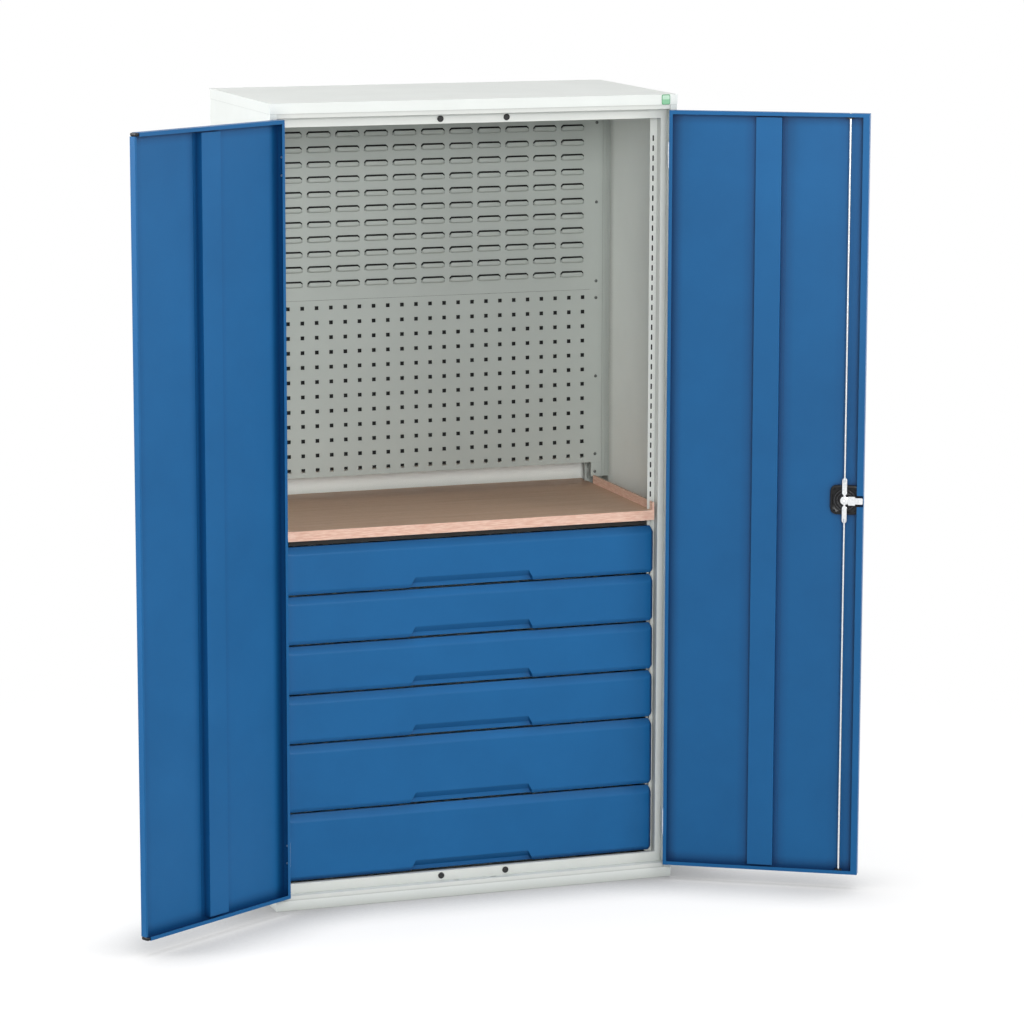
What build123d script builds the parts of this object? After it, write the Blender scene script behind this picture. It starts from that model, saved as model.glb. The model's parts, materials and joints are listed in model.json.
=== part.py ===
from build123d import *
from math import cos, radians, sin
import os

# Two-door tool cabinet: louvred and perforated back panels over a worktop and six drawers.
# Millimetres. X runs to the right, Y to the back and Z up, from the middle of the footprint on the floor.

os.makedirs("parts", exist_ok=True)

# Whole body
WIDTH = 1050
DEPTH = 550
HEIGHT = 2000
SHEET = 1.0  # body, door and drawer sheet
FRAME_SHEET = 1.5  # stiles, posts, rails and runners
FIT_GAP = 0.5  # side clearance between loose neighbours

# Roof and base caps
CAP_LIP = 25
BADGE_WIDTH = 22
BADGE_THICKNESS = 0.8
BADGE_INSET = 20  # from the cap's right end

# Front frame
FLANGE_WIDTH = 17  # front flange of each side panel
FRAME_RECESS = 27  # frame face behind the front plane
CLEAR_HALF_WIDTH = 491.5  # half the opening between the stiles
STILE_DEPTH = 25
STILE_FLANGE = 20
LEDGE_HEIGHT = 36
LEDGE_SETBACK = 3
RAIL_TOP = 60
RAIL_RETURN = 12
ROD_SLOT_LENGTH = 13
ROD_SLOT_WIDTH = 9

# Shelf slots in the stiles and posts
SLOT_PITCH = 25
SLOT_WIDTH = 3
SLOT_HEIGHT = 14.6
SLOT_TOP = 1888
SLOT_COUNT = 72
SLOT_EDGE = 8.5  # slot line from the free edge of its flange
PIP_SIZE = 2.2
PIP_SHIFT = 4.5

# Rear posts and panels
POST_FACE = 187
POST_WIDTH = 49
POST_DEPTH = 45.5  # from a post's face to the back of its slotted flange
POST_LIFT = 18  # a post's face starts again this far above the worktop
PANEL_HALF_WIDTH = 501
PANEL_SHEET = 1.0
PANEL_FOOT = 1006
PANEL_HEIGHT = 456
PANEL_JOINT = 0.5
HOLE_PITCH = 38
HOLE_SIZE = 10
HOLE_COLUMNS = 25
HOLE_ROWS = 12
HOLE_MARGIN_X = 53
HOLE_MARGIN_Z = 18.7
LOUVRE_COLUMNS = 12
LOUVRE_ROWS = 11
LOUVRE_PITCH_X = 76
LOUVRE_PITCH_Z = 38
LOUVRE_MARGIN_Z = 28  # top row's slot line below the panel's top edge
LOUVRE_WIDTH = 63
LOUVRE_HEIGHT = 16
LOUVRE_SLOT = 5
LOUVRE_STAND = 4.5
LOUVRE_GAP = 1.0
SCREW_X = 485
SCREW_MARGIN = 22
SCREW_HEAD_RADIUS = 4
SCREW_HEAD = 2.2
SCREW_RADIUS = 2
SCREW_LENGTH = 6
SCREW_HOLE_GAP = 0.2
POST_SCREW_DROP = 25  # lowest screw, below the perforated panel

# Worktop
WORKTOP_TOP = 950
WORKTOP_THICKNESS = 25
WORKTOP_HALF_WIDTH = 479
WORKTOP_FRONT = -245
WORKTOP_BACK_GAP = 1
WORKTOP_NOTCH_GAP = 2
SIDE_LIP_WIDTH = 5
SIDE_LIP_RISE = 21
SUPPORT_WIDTH = 28
SUPPORT_HEIGHT = 18
SUPPORT_TAB = 14

# Drawers
DRAWER_HEIGHTS = (175, 175, 125, 125, 125, 125)  # pitches from the bottom up
DRAWER_FOOT = 63
DRAWER_GAP = 3
FRONT_HALF_WIDTH = 486
FRONT_FACE = -240
FRONT_DEPTH = 14
FRONT_SHEET = 1.2
FRONT_RETURN = 36  # width of the rim that seats a front on its tray
TOP_BEVEL_HEIGHT = 19
TOP_BEVEL_DEPTH = 10
FOOT_BEVEL_HEIGHT = 9
FOOT_BEVEL_DEPTH = 5
END_BEVEL = 8
GRIP_FOOT_HALF = 164
GRIP_TOP_HALF = 149
GRIP_HEIGHT = 27
GRIP_LEDGE = 11
GRIP_DEPTH = 11
TRAY_HALF_WIDTH = 455
TRAY_BACK = 175
TRAY_LIFT = 9
TRAY_HEADROOM = 16

# Ball runners
RUNNER_SHEET = 1.2
RUNNER_RISE = 42  # runner's middle above the drawer's foot
RUNNER_HALF_HEIGHT = 22
RUNNER_NEST = 0.6
RUNNER_CLEAR = 2
RUNNER_DEPTH = 8
RUNNER_TAB = 16
RUNNER_END_GAP = 4

# Doors
DOOR_OPEN = 149.2
DOOR_THICKNESS = 24
DOOR_FOOT = 38
HINGE_AXIS_X = 503
HINGE_SIDE_GAP = 4  # door's edge from the hinge axis
DOOR_MIDDLE_GAP = 3
DOOR_LIP = 9
FREE_LIP = 16
LEFT_EDGE_DEPTH = 18
EDGE_STRIP = 3
EDGE_STRIP_FILLET = 1.4
LEFT_EDGE_RETURN = 3
CAP_SIZE = 9
CAP_FILLET = 6
HAT_WIDTH = 64
HAT_DEPTH = 19
HAT_FLANGE = 10
HAT_END_GAP = 4

# Hinges
HINGE_Z = 149  # hinge's middle from the floor, and from the top
HINGE_HEIGHT = 64
KNUCKLE_RADIUS = 3.5
KNUCKLE_GAP = 0.4
LEAF_SHEET = 1.3
LEAF_REACH = 23
LEAF_RELIEF = 4.0
PIN_RADIUS = 2.0
PIN_GAP = 0.04
PIN_HEAD_RADIUS = 3.2
PIN_HEAD = 1.5
RIVET_RADIUS = 1.5
RIVET_HEAD_RADIUS = 2.8
RIVET_HEAD = 1.2
RIVET_SPREAD = 44
RIVET_HOLE_GAP = 0.05
RIVET_INSET = 14

# Door buffers
BUFFER_X = 85.5
BUFFER_RADIUS = 8
BUFFER_STAND = 2.7
BUFFER_STUD_RADIUS = 3
BUFFER_STUD_LENGTH = 5
BUFFER_HOLE_GAP = 0.05

# Lock
LOCK_Z = 998
LOCK_SETBACK = 47.5  # spindle from the right door's free edge
HOUSING_SIZE = 75
HOUSING_DEPTH = 8
HOUSING_FILLET = 8
RING_RADIUS = 27
RING_WIDTH = 3
RING_STAND = 1.5
HUB_RADIUS = 9
HUB_LENGTH = 10
HUB_SOCKET_RADIUS = 4
HUB_SOCKET_DEPTH = 2
HUB_SEAT_GAP = 0.3
SPINDLE_RADIUS = 6
SPINDLE_GAP = 0.05
SPINDLE_HOLE_GAP = 1
ROD_RADIUS = 3
ROD_LINE = 17  # rod's axis behind the door's outer face
ROD_TIP = 1.5
ROD_START = 13
ADAPTOR_LENGTH = 44
ADAPTOR_WIDTH = 14.5
ADAPTOR_THICKNESS = 2.4
ROD_HOLE_GAP = 0.5
GUIDE_WIDTH = 16
GUIDE_HEIGHT = 12
GUIDE_DEPTH = 11
GUIDE_BORE_GAP = 0.1
BOLT_START = 12
BOLT_HEIGHT = 24
BOLT_NECK = 14
BOLT_THICKNESS = 3
BOLT_STAND = 18.8
BOLT_NECK_LENGTH = 14
BOLT_WINDOW_GAP = 2
HANDLE_RADIUS = 22
HANDLE_DISC = 9
HANDLE_LEVER_LENGTH = 92
HANDLE_LEVER_WIDTH = 20
HANDLE_LEVER_THICKNESS = 8
HANDLE_SEAT_GAP = 0.4
KEY_RADIUS = 8
KEY_STAND = 2
KEY_DEPTH = 12
KEY_SLOT_WIDTH = 1.6
KEY_SLOT_LENGTH = 8
KEY_SLOT_DEPTH = 4

# Derived places
FRONT = -DEPTH / 2
BACK = DEPTH / 2
HALF_WIDTH = WIDTH / 2
WALL_OUTER = HALF_WIDTH - SHEET
WALL_INNER = WALL_OUTER - SHEET
FRAME_FACE = FRONT + FRAME_RECESS
FLANGE_EDGE = WALL_OUTER - FLANGE_WIDTH
FRAME_BACK = FRAME_FACE + FRAME_SHEET
STILE_BACK = FRAME_BACK + STILE_DEPTH
STILE_EDGE = CLEAR_HALF_WIDTH + FRAME_SHEET - STILE_FLANGE
POST_EDGE = WALL_INNER - POST_WIDTH
POST_BACK = POST_FACE + POST_DEPTH
PANEL_FACE = POST_FACE - PANEL_SHEET
PANEL_SEAM = PANEL_FOOT + PANEL_HEIGHT
PANEL_HEAD = PANEL_SEAM + PANEL_HEIGHT
SCREW_HEIGHTS = [
    foot + SCREW_MARGIN + step * (PANEL_HEIGHT - 2 * SCREW_MARGIN) / 2
    for foot in (PANEL_FOOT, PANEL_SEAM)
    for step in range(3)
]
POST_SCREW_Z = PANEL_FOOT - POST_SCREW_DROP
WORKTOP_FOOT = WORKTOP_TOP - WORKTOP_THICKNESS
DRAWER_Z = [DRAWER_FOOT + sum(DRAWER_HEIGHTS[:number]) for number in range(len(DRAWER_HEIGHTS))]
FRONT_BACK = FRONT_FACE + FRONT_DEPTH
RUNNER_WALL = STILE_EDGE - RUNNER_CLEAR
RUNNER_FRONT = STILE_BACK + RUNNER_END_GAP
RUNNER_BACK = POST_FACE - RUNNER_END_GAP
RUNNER_NEST_STEP = RUNNER_SHEET + RUNNER_NEST
MIDDLE_WEB = (RUNNER_WALL + TRAY_HALF_WIDTH) / 2
DOOR_HEAD = HEIGHT - DOOR_FOOT
DOOR_FREE = HINGE_AXIS_X - DOOR_MIDDLE_GAP / 2
HINGE_HEIGHTS = (HINGE_Z, HEIGHT - HINGE_Z)
ROD_X = DOOR_FREE - LOCK_SETBACK


def block(x, y, z, mode=Mode.ADD):
    """A box between its limits along each axis of the part being built."""
    with Locations((sum(x) / 2, sum(y) / 2, sum(z) / 2)):
        Box(abs(x[1] - x[0]), abs(y[1] - y[0]), abs(z[1] - z[0]), mode=mode)


def bar_x(y, z, x, radius, mode=Mode.ADD):
    """A round bar along X between its limits."""
    with Locations((sum(x) / 2, y, z)):
        Cylinder(radius, abs(x[1] - x[0]), rotation=(0, 90, 0), mode=mode)


def bar_y(x, z, y, radius, mode=Mode.ADD):
    """A round bar along Y between its limits."""
    with Locations((x, sum(y) / 2, z)):
        Cylinder(radius, abs(y[1] - y[0]), rotation=(90, 0, 0), mode=mode)


def bar_z(x, y, z, radius, mode=Mode.ADD):
    """A round bar along Z between its limits."""
    with Locations((x, y, sum(z) / 2)):
        Cylinder(radius, abs(z[1] - z[0]), mode=mode)


# Roof and base: flat caps with a lip all round

with BuildPart() as roof_panel:
    block((-HALF_WIDTH, HALF_WIDTH), (FRONT, BACK), (HEIGHT - CAP_LIP, HEIGHT))
    block(
        (-WALL_OUTER, WALL_OUTER),
        (FRONT + SHEET, BACK - SHEET),
        (HEIGHT - CAP_LIP, HEIGHT - SHEET),
        mode=Mode.SUBTRACT,
    )
roof_panel.part.label = "roof_panel"
export_step(roof_panel.part, "parts/roof_panel.step")

with BuildPart() as base_panel:
    block((-HALF_WIDTH, HALF_WIDTH), (FRONT, BACK), (0, CAP_LIP))
    block((-WALL_OUTER, WALL_OUTER), (FRONT + SHEET, BACK - SHEET), (SHEET, CAP_LIP), mode=Mode.SUBTRACT)
base_panel.part.label = "base_panel"
export_step(base_panel.part, "parts/base_panel.step")

with BuildPart() as badge_plate:
    block(
        (HALF_WIDTH - BADGE_INSET - BADGE_WIDTH, HALF_WIDTH - BADGE_INSET),
        (FRONT - BADGE_THICKNESS, FRONT),
        (HEIGHT - CAP_LIP, HEIGHT),
    )
badge_plate.part.label = "badge_plate"
export_step(badge_plate.part, "parts/badge_plate.step")

# Side and back walls, standing inside the caps' lips

for side, hand in ((-1, "left"), (1, "right")):
    with BuildPart() as side_panel:
        block((side * WALL_INNER, side * WALL_OUTER), (FRONT + SHEET, BACK - SHEET), (SHEET, HEIGHT - SHEET))
        block(
            (side * FLANGE_EDGE, side * WALL_OUTER),
            (FRONT + SHEET, FRONT + 2 * SHEET),
            (SHEET, HEIGHT - SHEET),
        )
        block(
            (side * FLANGE_EDGE, side * (FLANGE_EDGE + SHEET)),
            (FRONT + SHEET, FRAME_FACE),
            (SHEET, HEIGHT - SHEET),
        )
    side_panel.part.label = f"{hand}_side_panel"
    export_step(side_panel.part, f"parts/{hand}_side_panel.step")

with BuildPart() as back_panel:
    block((-WALL_INNER, WALL_INNER), (BACK - 2 * SHEET, BACK - SHEET), (SHEET, HEIGHT - SHEET))
back_panel.part.label = "back_panel"
export_step(back_panel.part, "parts/back_panel.step")

# Front stiles: a face plate, a web and a slotted flange, folded from one sheet


def punch_slots(x, y):
    """The column of shelf slots through each side's flange, with a small pip hole between each two."""
    slot_heights = [SLOT_TOP - SLOT_PITCH * number for number in range(SLOT_COUNT)]
    with BuildSketch(Plane.XZ.offset(-y[1])) as slots:
        for side in (-1, 1):
            with Locations(*[(side * x, z) for z in slot_heights]):
                Rectangle(SLOT_WIDTH, SLOT_HEIGHT)
            with Locations(*[(side * (x + PIP_SHIFT), z - SLOT_PITCH / 2) for z in slot_heights]):
                Rectangle(PIP_SIZE, PIP_SIZE)
    extrude(slots.sketch, amount=y[1] - y[0], mode=Mode.SUBTRACT, clean=False)


with BuildPart() as front_stiles:
    block((CLEAR_HALF_WIDTH, WALL_INNER), (FRAME_FACE, FRAME_BACK), (SHEET, HEIGHT - SHEET))
    block(
        (CLEAR_HALF_WIDTH, CLEAR_HALF_WIDTH + FRAME_SHEET),
        (FRAME_FACE, STILE_BACK),
        (SHEET, HEIGHT - SHEET),
    )
    block(
        (STILE_EDGE, CLEAR_HALF_WIDTH + FRAME_SHEET),
        (STILE_BACK - FRAME_SHEET, STILE_BACK),
        (SHEET, HEIGHT - SHEET),
    )
    mirror(about=Plane.YZ)
    punch_slots(STILE_EDGE + SLOT_EDGE, (STILE_BACK - FRAME_SHEET, STILE_BACK))
front_stiles.part.label = "front_stiles"
export_step(front_stiles.part, "parts/front_stiles.step")

# Front rails: a hidden band, a ledge with two rod slots, and the rail that closes the opening

with BuildPart() as front_rails:
    ledge_front = FRONT + LEDGE_SETBACK
    ledge_foot = LEDGE_HEIGHT - FRAME_SHEET
    block((-FLANGE_EDGE, FLANGE_EDGE), (ledge_front, ledge_front + FRAME_SHEET), (SHEET, LEDGE_HEIGHT))
    block((-FLANGE_EDGE, FLANGE_EDGE), (ledge_front, FRAME_FACE), (ledge_foot, LEDGE_HEIGHT))
    block((-CLEAR_HALF_WIDTH, CLEAR_HALF_WIDTH), (FRAME_FACE, FRAME_BACK), (ledge_foot, RAIL_TOP))
    block(
        (-CLEAR_HALF_WIDTH, CLEAR_HALF_WIDTH),
        (FRAME_FACE, FRAME_FACE + RAIL_RETURN),
        (RAIL_TOP - FRAME_SHEET, RAIL_TOP),
    )
    for side in (-1, 1):
        rod_x = side * (HINGE_AXIS_X - ROD_X)
        rod_y = FRONT + ROD_LINE
        block(
            (rod_x - ROD_SLOT_LENGTH / 2, rod_x + ROD_SLOT_LENGTH / 2),
            (rod_y - ROD_SLOT_WIDTH / 2, rod_y + ROD_SLOT_WIDTH / 2),
            (ledge_foot, LEDGE_HEIGHT),
            mode=Mode.SUBTRACT,
        )
        bar_y(
            side * BUFFER_X,
            (LEDGE_HEIGHT + RAIL_TOP) / 2,
            (FRAME_FACE, FRAME_BACK),
            BUFFER_STUD_RADIUS + BUFFER_HOLE_GAP,
            mode=Mode.SUBTRACT,
        )
    mirror(about=Plane.XY.offset(HEIGHT / 2))
front_rails.part.label = "front_rails"
export_step(front_rails.part, "parts/front_rails.step")

with BuildPart() as door_buffers:
    for side in (-1, 1):
        buffer_z = (LEDGE_HEIGHT + RAIL_TOP) / 2
        bar_y(side * BUFFER_X, buffer_z, (FRAME_FACE - BUFFER_STAND, FRAME_FACE), BUFFER_RADIUS)
        bar_y(side * BUFFER_X, buffer_z, (FRAME_FACE, FRAME_FACE + BUFFER_STUD_LENGTH), BUFFER_STUD_RADIUS)
    mirror(about=Plane.XY.offset(HEIGHT / 2))
door_buffers.part.label = "door_buffers"
export_step(door_buffers.part, "parts/door_buffers.step")

# Rear posts: a face that carries the panels, a web along the side panel and a slotted flange behind
# Each face is cut away round the worktop, which runs on to the back

with BuildPart() as rear_posts:
    post_height = (SHEET, HEIGHT - SHEET)
    block((POST_EDGE, WALL_INNER), (POST_FACE, POST_FACE + FRAME_SHEET), post_height)
    block((WALL_INNER - FRAME_SHEET, WALL_INNER), (POST_FACE, POST_BACK), post_height)
    block((STILE_EDGE, WALL_INNER), (POST_BACK - FRAME_SHEET, POST_BACK), post_height)
    block(
        (POST_EDGE, WALL_INNER - FRAME_SHEET),
        (POST_FACE, POST_FACE + FRAME_SHEET),
        (WORKTOP_FOOT - WORKTOP_NOTCH_GAP, WORKTOP_TOP + POST_LIFT),
        mode=Mode.SUBTRACT,
    )
    for screw_z in [POST_SCREW_Z] + SCREW_HEIGHTS:
        bar_y(
            SCREW_X,
            screw_z,
            (POST_FACE, POST_FACE + FRAME_SHEET),
            SCREW_RADIUS + SCREW_HOLE_GAP,
            mode=Mode.SUBTRACT,
        )
    mirror(about=Plane.YZ)
    punch_slots(STILE_EDGE + SLOT_EDGE, (POST_BACK - FRAME_SHEET, POST_BACK))
rear_posts.part.label = "rear_posts"
export_step(rear_posts.part, "parts/rear_posts.step")

# Perforated and louvred panels, screwed to the posts


def panel_sheet(foot, head):
    """A flat back panel with its screw holes."""
    block((-PANEL_HALF_WIDTH, PANEL_HALF_WIDTH), (PANEL_FACE, POST_FACE), (foot, head))
    for screw_z in SCREW_HEIGHTS:
        if foot < screw_z < head:
            for side in (-1, 1):
                bar_y(
                    side * SCREW_X,
                    screw_z,
                    (PANEL_FACE, POST_FACE),
                    SCREW_RADIUS + SCREW_HOLE_GAP,
                    mode=Mode.SUBTRACT,
                )


with BuildPart() as perforated_panel:
    panel_sheet(PANEL_FOOT, PANEL_SEAM)
    hole_grid_x = PANEL_HALF_WIDTH - HOLE_MARGIN_X - HOLE_PITCH * (HOLE_COLUMNS - 1) / 2
    hole_grid_z = PANEL_FOOT + HOLE_MARGIN_Z + HOLE_PITCH * (HOLE_ROWS - 1) / 2
    with BuildSketch(Plane.XZ.offset(-POST_FACE)):
        with Locations((hole_grid_x, hole_grid_z)):
            with GridLocations(HOLE_PITCH, HOLE_PITCH, HOLE_COLUMNS, HOLE_ROWS):
                Rectangle(HOLE_SIZE, HOLE_SIZE)
    extrude(amount=PANEL_SHEET, mode=Mode.SUBTRACT, clean=False)
perforated_panel.part.label = "perforated_panel"
export_step(perforated_panel.part, "parts/perforated_panel.step")


def louvre_outline(half_width, foot, head):
    """The front view of a louvre: square at its foot, with its top corners cut at 45 degrees."""
    shoulder = head - LOUVRE_SLOT
    crown = half_width - LOUVRE_SLOT
    right_half = [(half_width, foot), (half_width, shoulder), (crown, head)]
    return right_half + [(-x, z) for x, z in reversed(right_half)]


with BuildPart() as louvre_lip:
    lip_head = LOUVRE_HEIGHT - LOUVRE_SLOT
    with BuildSketch(Plane.YZ):
        Polygon(
            (0, 0),
            (-LOUVRE_STAND, lip_head - PANEL_SHEET),
            (-LOUVRE_STAND, lip_head),
            (PANEL_SHEET - LOUVRE_STAND, lip_head),
            (PANEL_SHEET, PANEL_SHEET),
            (PANEL_SHEET, 0),
            align=None,
        )
    extrude(amount=LOUVRE_WIDTH / 2, both=True)
    with BuildSketch(Plane.XZ.offset(-PANEL_SHEET)):
        Polygon(*louvre_outline(LOUVRE_WIDTH / 2 - LOUVRE_GAP, 0, lip_head), align=None)
    extrude(amount=PANEL_SHEET + LOUVRE_STAND, mode=Mode.INTERSECT)

with BuildPart() as louvre_panel:
    panel_sheet(PANEL_SEAM + PANEL_JOINT, PANEL_HEAD)
    top_foot = PANEL_HEAD - LOUVRE_MARGIN_Z - LOUVRE_HEIGHT + LOUVRE_SLOT / 2
    right_centre = LOUVRE_PITCH_X * (LOUVRE_COLUMNS - 1) / 2
    louvre_places = [
        (right_centre - LOUVRE_PITCH_X * column, top_foot - LOUVRE_PITCH_Z * row)
        for row in range(LOUVRE_ROWS)
        for column in range(LOUVRE_COLUMNS)
    ]
    with BuildSketch(Plane.XZ.offset(-POST_FACE)):
        with Locations(*louvre_places):
            Polygon(*louvre_outline(LOUVRE_WIDTH / 2, PANEL_SHEET, LOUVRE_HEIGHT), align=None)
    extrude(amount=PANEL_SHEET, mode=Mode.SUBTRACT, clean=False)
    with Locations(*[(x, PANEL_FACE, z) for x, z in louvre_places]):
        add(louvre_lip.part, clean=False)
louvre_panel.part.label = "louvre_panel"
export_step(louvre_panel.part, "parts/louvre_panel.step")

with BuildPart() as panel_screws:
    seats = [(z, PANEL_FACE) for z in SCREW_HEIGHTS] + [(POST_SCREW_Z, POST_FACE)]
    for side in (-1, 1):
        for screw_z, seat_y in seats:
            bar_y(side * SCREW_X, screw_z, (seat_y - SCREW_HEAD, seat_y), SCREW_HEAD_RADIUS)
            bar_y(side * SCREW_X, screw_z, (seat_y, seat_y + SCREW_LENGTH), SCREW_RADIUS)
panel_screws.part.label = "panel_screws"
export_step(panel_screws.part, "parts/panel_screws.step")

# Worktop: a board with a thin lip beside each edge, both slit round the slotted flanges


def slit_round_flange(flange_back, z):
    """Slits through what lies between z's limits, with room for a slotted flange on each side."""
    slit_y = (flange_back - FRAME_SHEET - WORKTOP_NOTCH_GAP, flange_back + WORKTOP_NOTCH_GAP)
    lip_face = WORKTOP_HALF_WIDTH + SIDE_LIP_WIDTH
    for side in (-1, 1):
        slit_x = (side * (STILE_EDGE - WORKTOP_NOTCH_GAP), side * lip_face)
        block(slit_x, slit_y, z, mode=Mode.SUBTRACT)


with BuildPart() as worktop:
    board_z = (WORKTOP_FOOT, WORKTOP_TOP)
    block(
        (-WORKTOP_HALF_WIDTH, WORKTOP_HALF_WIDTH),
        (WORKTOP_FRONT, BACK - 2 * SHEET - WORKTOP_BACK_GAP),
        board_z,
    )
    slit_round_flange(STILE_BACK, board_z)
    slit_round_flange(POST_BACK, board_z)
worktop.part.label = "worktop"
export_step(worktop.part, "parts/worktop.step")

with BuildPart() as worktop_side_lips:
    lip_z = (WORKTOP_FOOT, WORKTOP_TOP + SIDE_LIP_RISE)
    block(
        (WORKTOP_HALF_WIDTH, WORKTOP_HALF_WIDTH + SIDE_LIP_WIDTH),
        (WORKTOP_FRONT, POST_FACE - WORKTOP_NOTCH_GAP),
        lip_z,
    )
    mirror(about=Plane.YZ)
    slit_round_flange(STILE_BACK, lip_z)
worktop_side_lips.part.label = "worktop_side_lips"
export_step(worktop_side_lips.part, "parts/worktop_side_lips.step")

with BuildPart() as worktop_supports:
    support_edge = STILE_EDGE + FIT_GAP
    support_foot = WORKTOP_FOOT - SUPPORT_HEIGHT
    block(
        (support_edge, support_edge + SUPPORT_WIDTH),
        (STILE_BACK, POST_FACE),
        (WORKTOP_FOOT - FRAME_SHEET, WORKTOP_FOOT),
    )
    for tab_y in ((STILE_BACK, STILE_BACK + FRAME_SHEET), (POST_FACE - FRAME_SHEET, POST_FACE)):
        block((support_edge, support_edge + SUPPORT_TAB), tab_y, (support_foot, WORKTOP_FOOT))
    block(
        (support_edge + SUPPORT_WIDTH - FRAME_SHEET, support_edge + SUPPORT_WIDTH),
        (STILE_BACK, POST_FACE),
        (support_foot, WORKTOP_FOOT),
    )
    mirror(about=Plane.YZ)
worktop_supports.part.label = "worktop_supports"
export_step(worktop_supports.part, "parts/worktop_supports.step")

# Ball runners: three channels nested inside each other on each side of every drawer
# Each channel's open side faces its neighbour, with its web on the side that it is fixed to


def channel(web, lips_to, half_height, y, z):
    """A runner channel: a web at one side and two lips that reach to the other."""
    block(web, y, (z - half_height, z + half_height))
    for sign in (-1, 1):
        lip_z = (z + sign * (half_height - RUNNER_SHEET), z + sign * half_height)
        block((web[0], lips_to), y, lip_z)


with BuildPart() as cabinet_runners:
    for drawer_z in DRAWER_Z:
        runner_z = drawer_z + RUNNER_RISE
        web = (RUNNER_WALL, RUNNER_WALL - RUNNER_SHEET)
        channel(web, RUNNER_WALL - RUNNER_DEPTH, RUNNER_HALF_HEIGHT, (RUNNER_FRONT, RUNNER_BACK), runner_z)
        runner_height = (runner_z - RUNNER_HALF_HEIGHT, runner_z + RUNNER_HALF_HEIGHT)
        block(web, (STILE_BACK, POST_FACE), runner_height)
        for tab_y in ((STILE_BACK, STILE_BACK + RUNNER_SHEET), (POST_FACE - RUNNER_SHEET, POST_FACE)):
            block((web[1], STILE_EDGE + RUNNER_TAB), tab_y, runner_height)
    mirror(about=Plane.YZ)
cabinet_runners.part.label = "cabinet_runners"
export_step(cabinet_runners.part, "parts/cabinet_runners.step")

# Drawers, numbered from the bottom up


def front_section(height, inset):
    """The side view of a drawer front above its foot, bevelled at its top and foot."""
    face = FRONT_FACE + inset
    return [
        (FRONT_BACK, inset),
        (face + FOOT_BEVEL_DEPTH, inset),
        (face, FOOT_BEVEL_HEIGHT),
        (face, height - TOP_BEVEL_HEIGHT),
        (face + TOP_BEVEL_DEPTH, height - inset),
        (FRONT_BACK, height - inset),
    ]


def front_plan(inset):
    """The top view of a drawer front, with its ends bevelled back."""
    half = FRONT_HALF_WIDTH - inset
    right_half = [(half, FRONT_BACK), (half, FRONT_FACE + END_BEVEL), (half - END_BEVEL, FRONT_FACE + inset)]
    return right_half + [(-x, y) for x, y in reversed(right_half)]


def front_shape(foot, height, inset):
    """A drawer front's outer or inner skin as a solid."""
    with BuildPart(mode=Mode.PRIVATE) as shape:
        with BuildSketch(Plane.YZ.offset(-FRONT_HALF_WIDTH)):
            Polygon(*[(y, foot + z) for y, z in front_section(height, inset)], align=None)
        extrude(amount=2 * FRONT_HALF_WIDTH)
        with BuildSketch(Plane.XY.offset(foot)):
            Polygon(*front_plan(inset), align=None)
        extrude(amount=height, mode=Mode.INTERSECT)
    return shape.part


def grip_shape(foot, growth):
    """The hand grip's hollow: a trapezoid sunk into the front, with a sloped roof."""
    with BuildPart(mode=Mode.PRIVATE) as shape:
        with BuildSketch(Plane.YZ.offset(-GRIP_FOOT_HALF - growth)):
            Polygon(
                (FRONT_FACE, foot),
                (FRONT_FACE + GRIP_DEPTH + growth, foot),
                (FRONT_FACE + GRIP_DEPTH + growth, foot + GRIP_LEDGE + growth),
                (FRONT_FACE, foot + GRIP_HEIGHT + growth),
                align=None,
            )
        extrude(amount=2 * (GRIP_FOOT_HALF + growth))
        with BuildSketch(Plane.XZ.offset(-FRONT_BACK)):
            Polygon(
                (-GRIP_FOOT_HALF - growth, foot),
                (GRIP_FOOT_HALF + growth, foot),
                (GRIP_TOP_HALF + growth, foot + GRIP_HEIGHT + growth),
                (-GRIP_TOP_HALF - growth, foot + GRIP_HEIGHT + growth),
                align=None,
            )
        extrude(amount=FRONT_DEPTH, mode=Mode.INTERSECT)
    return shape.part


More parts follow.
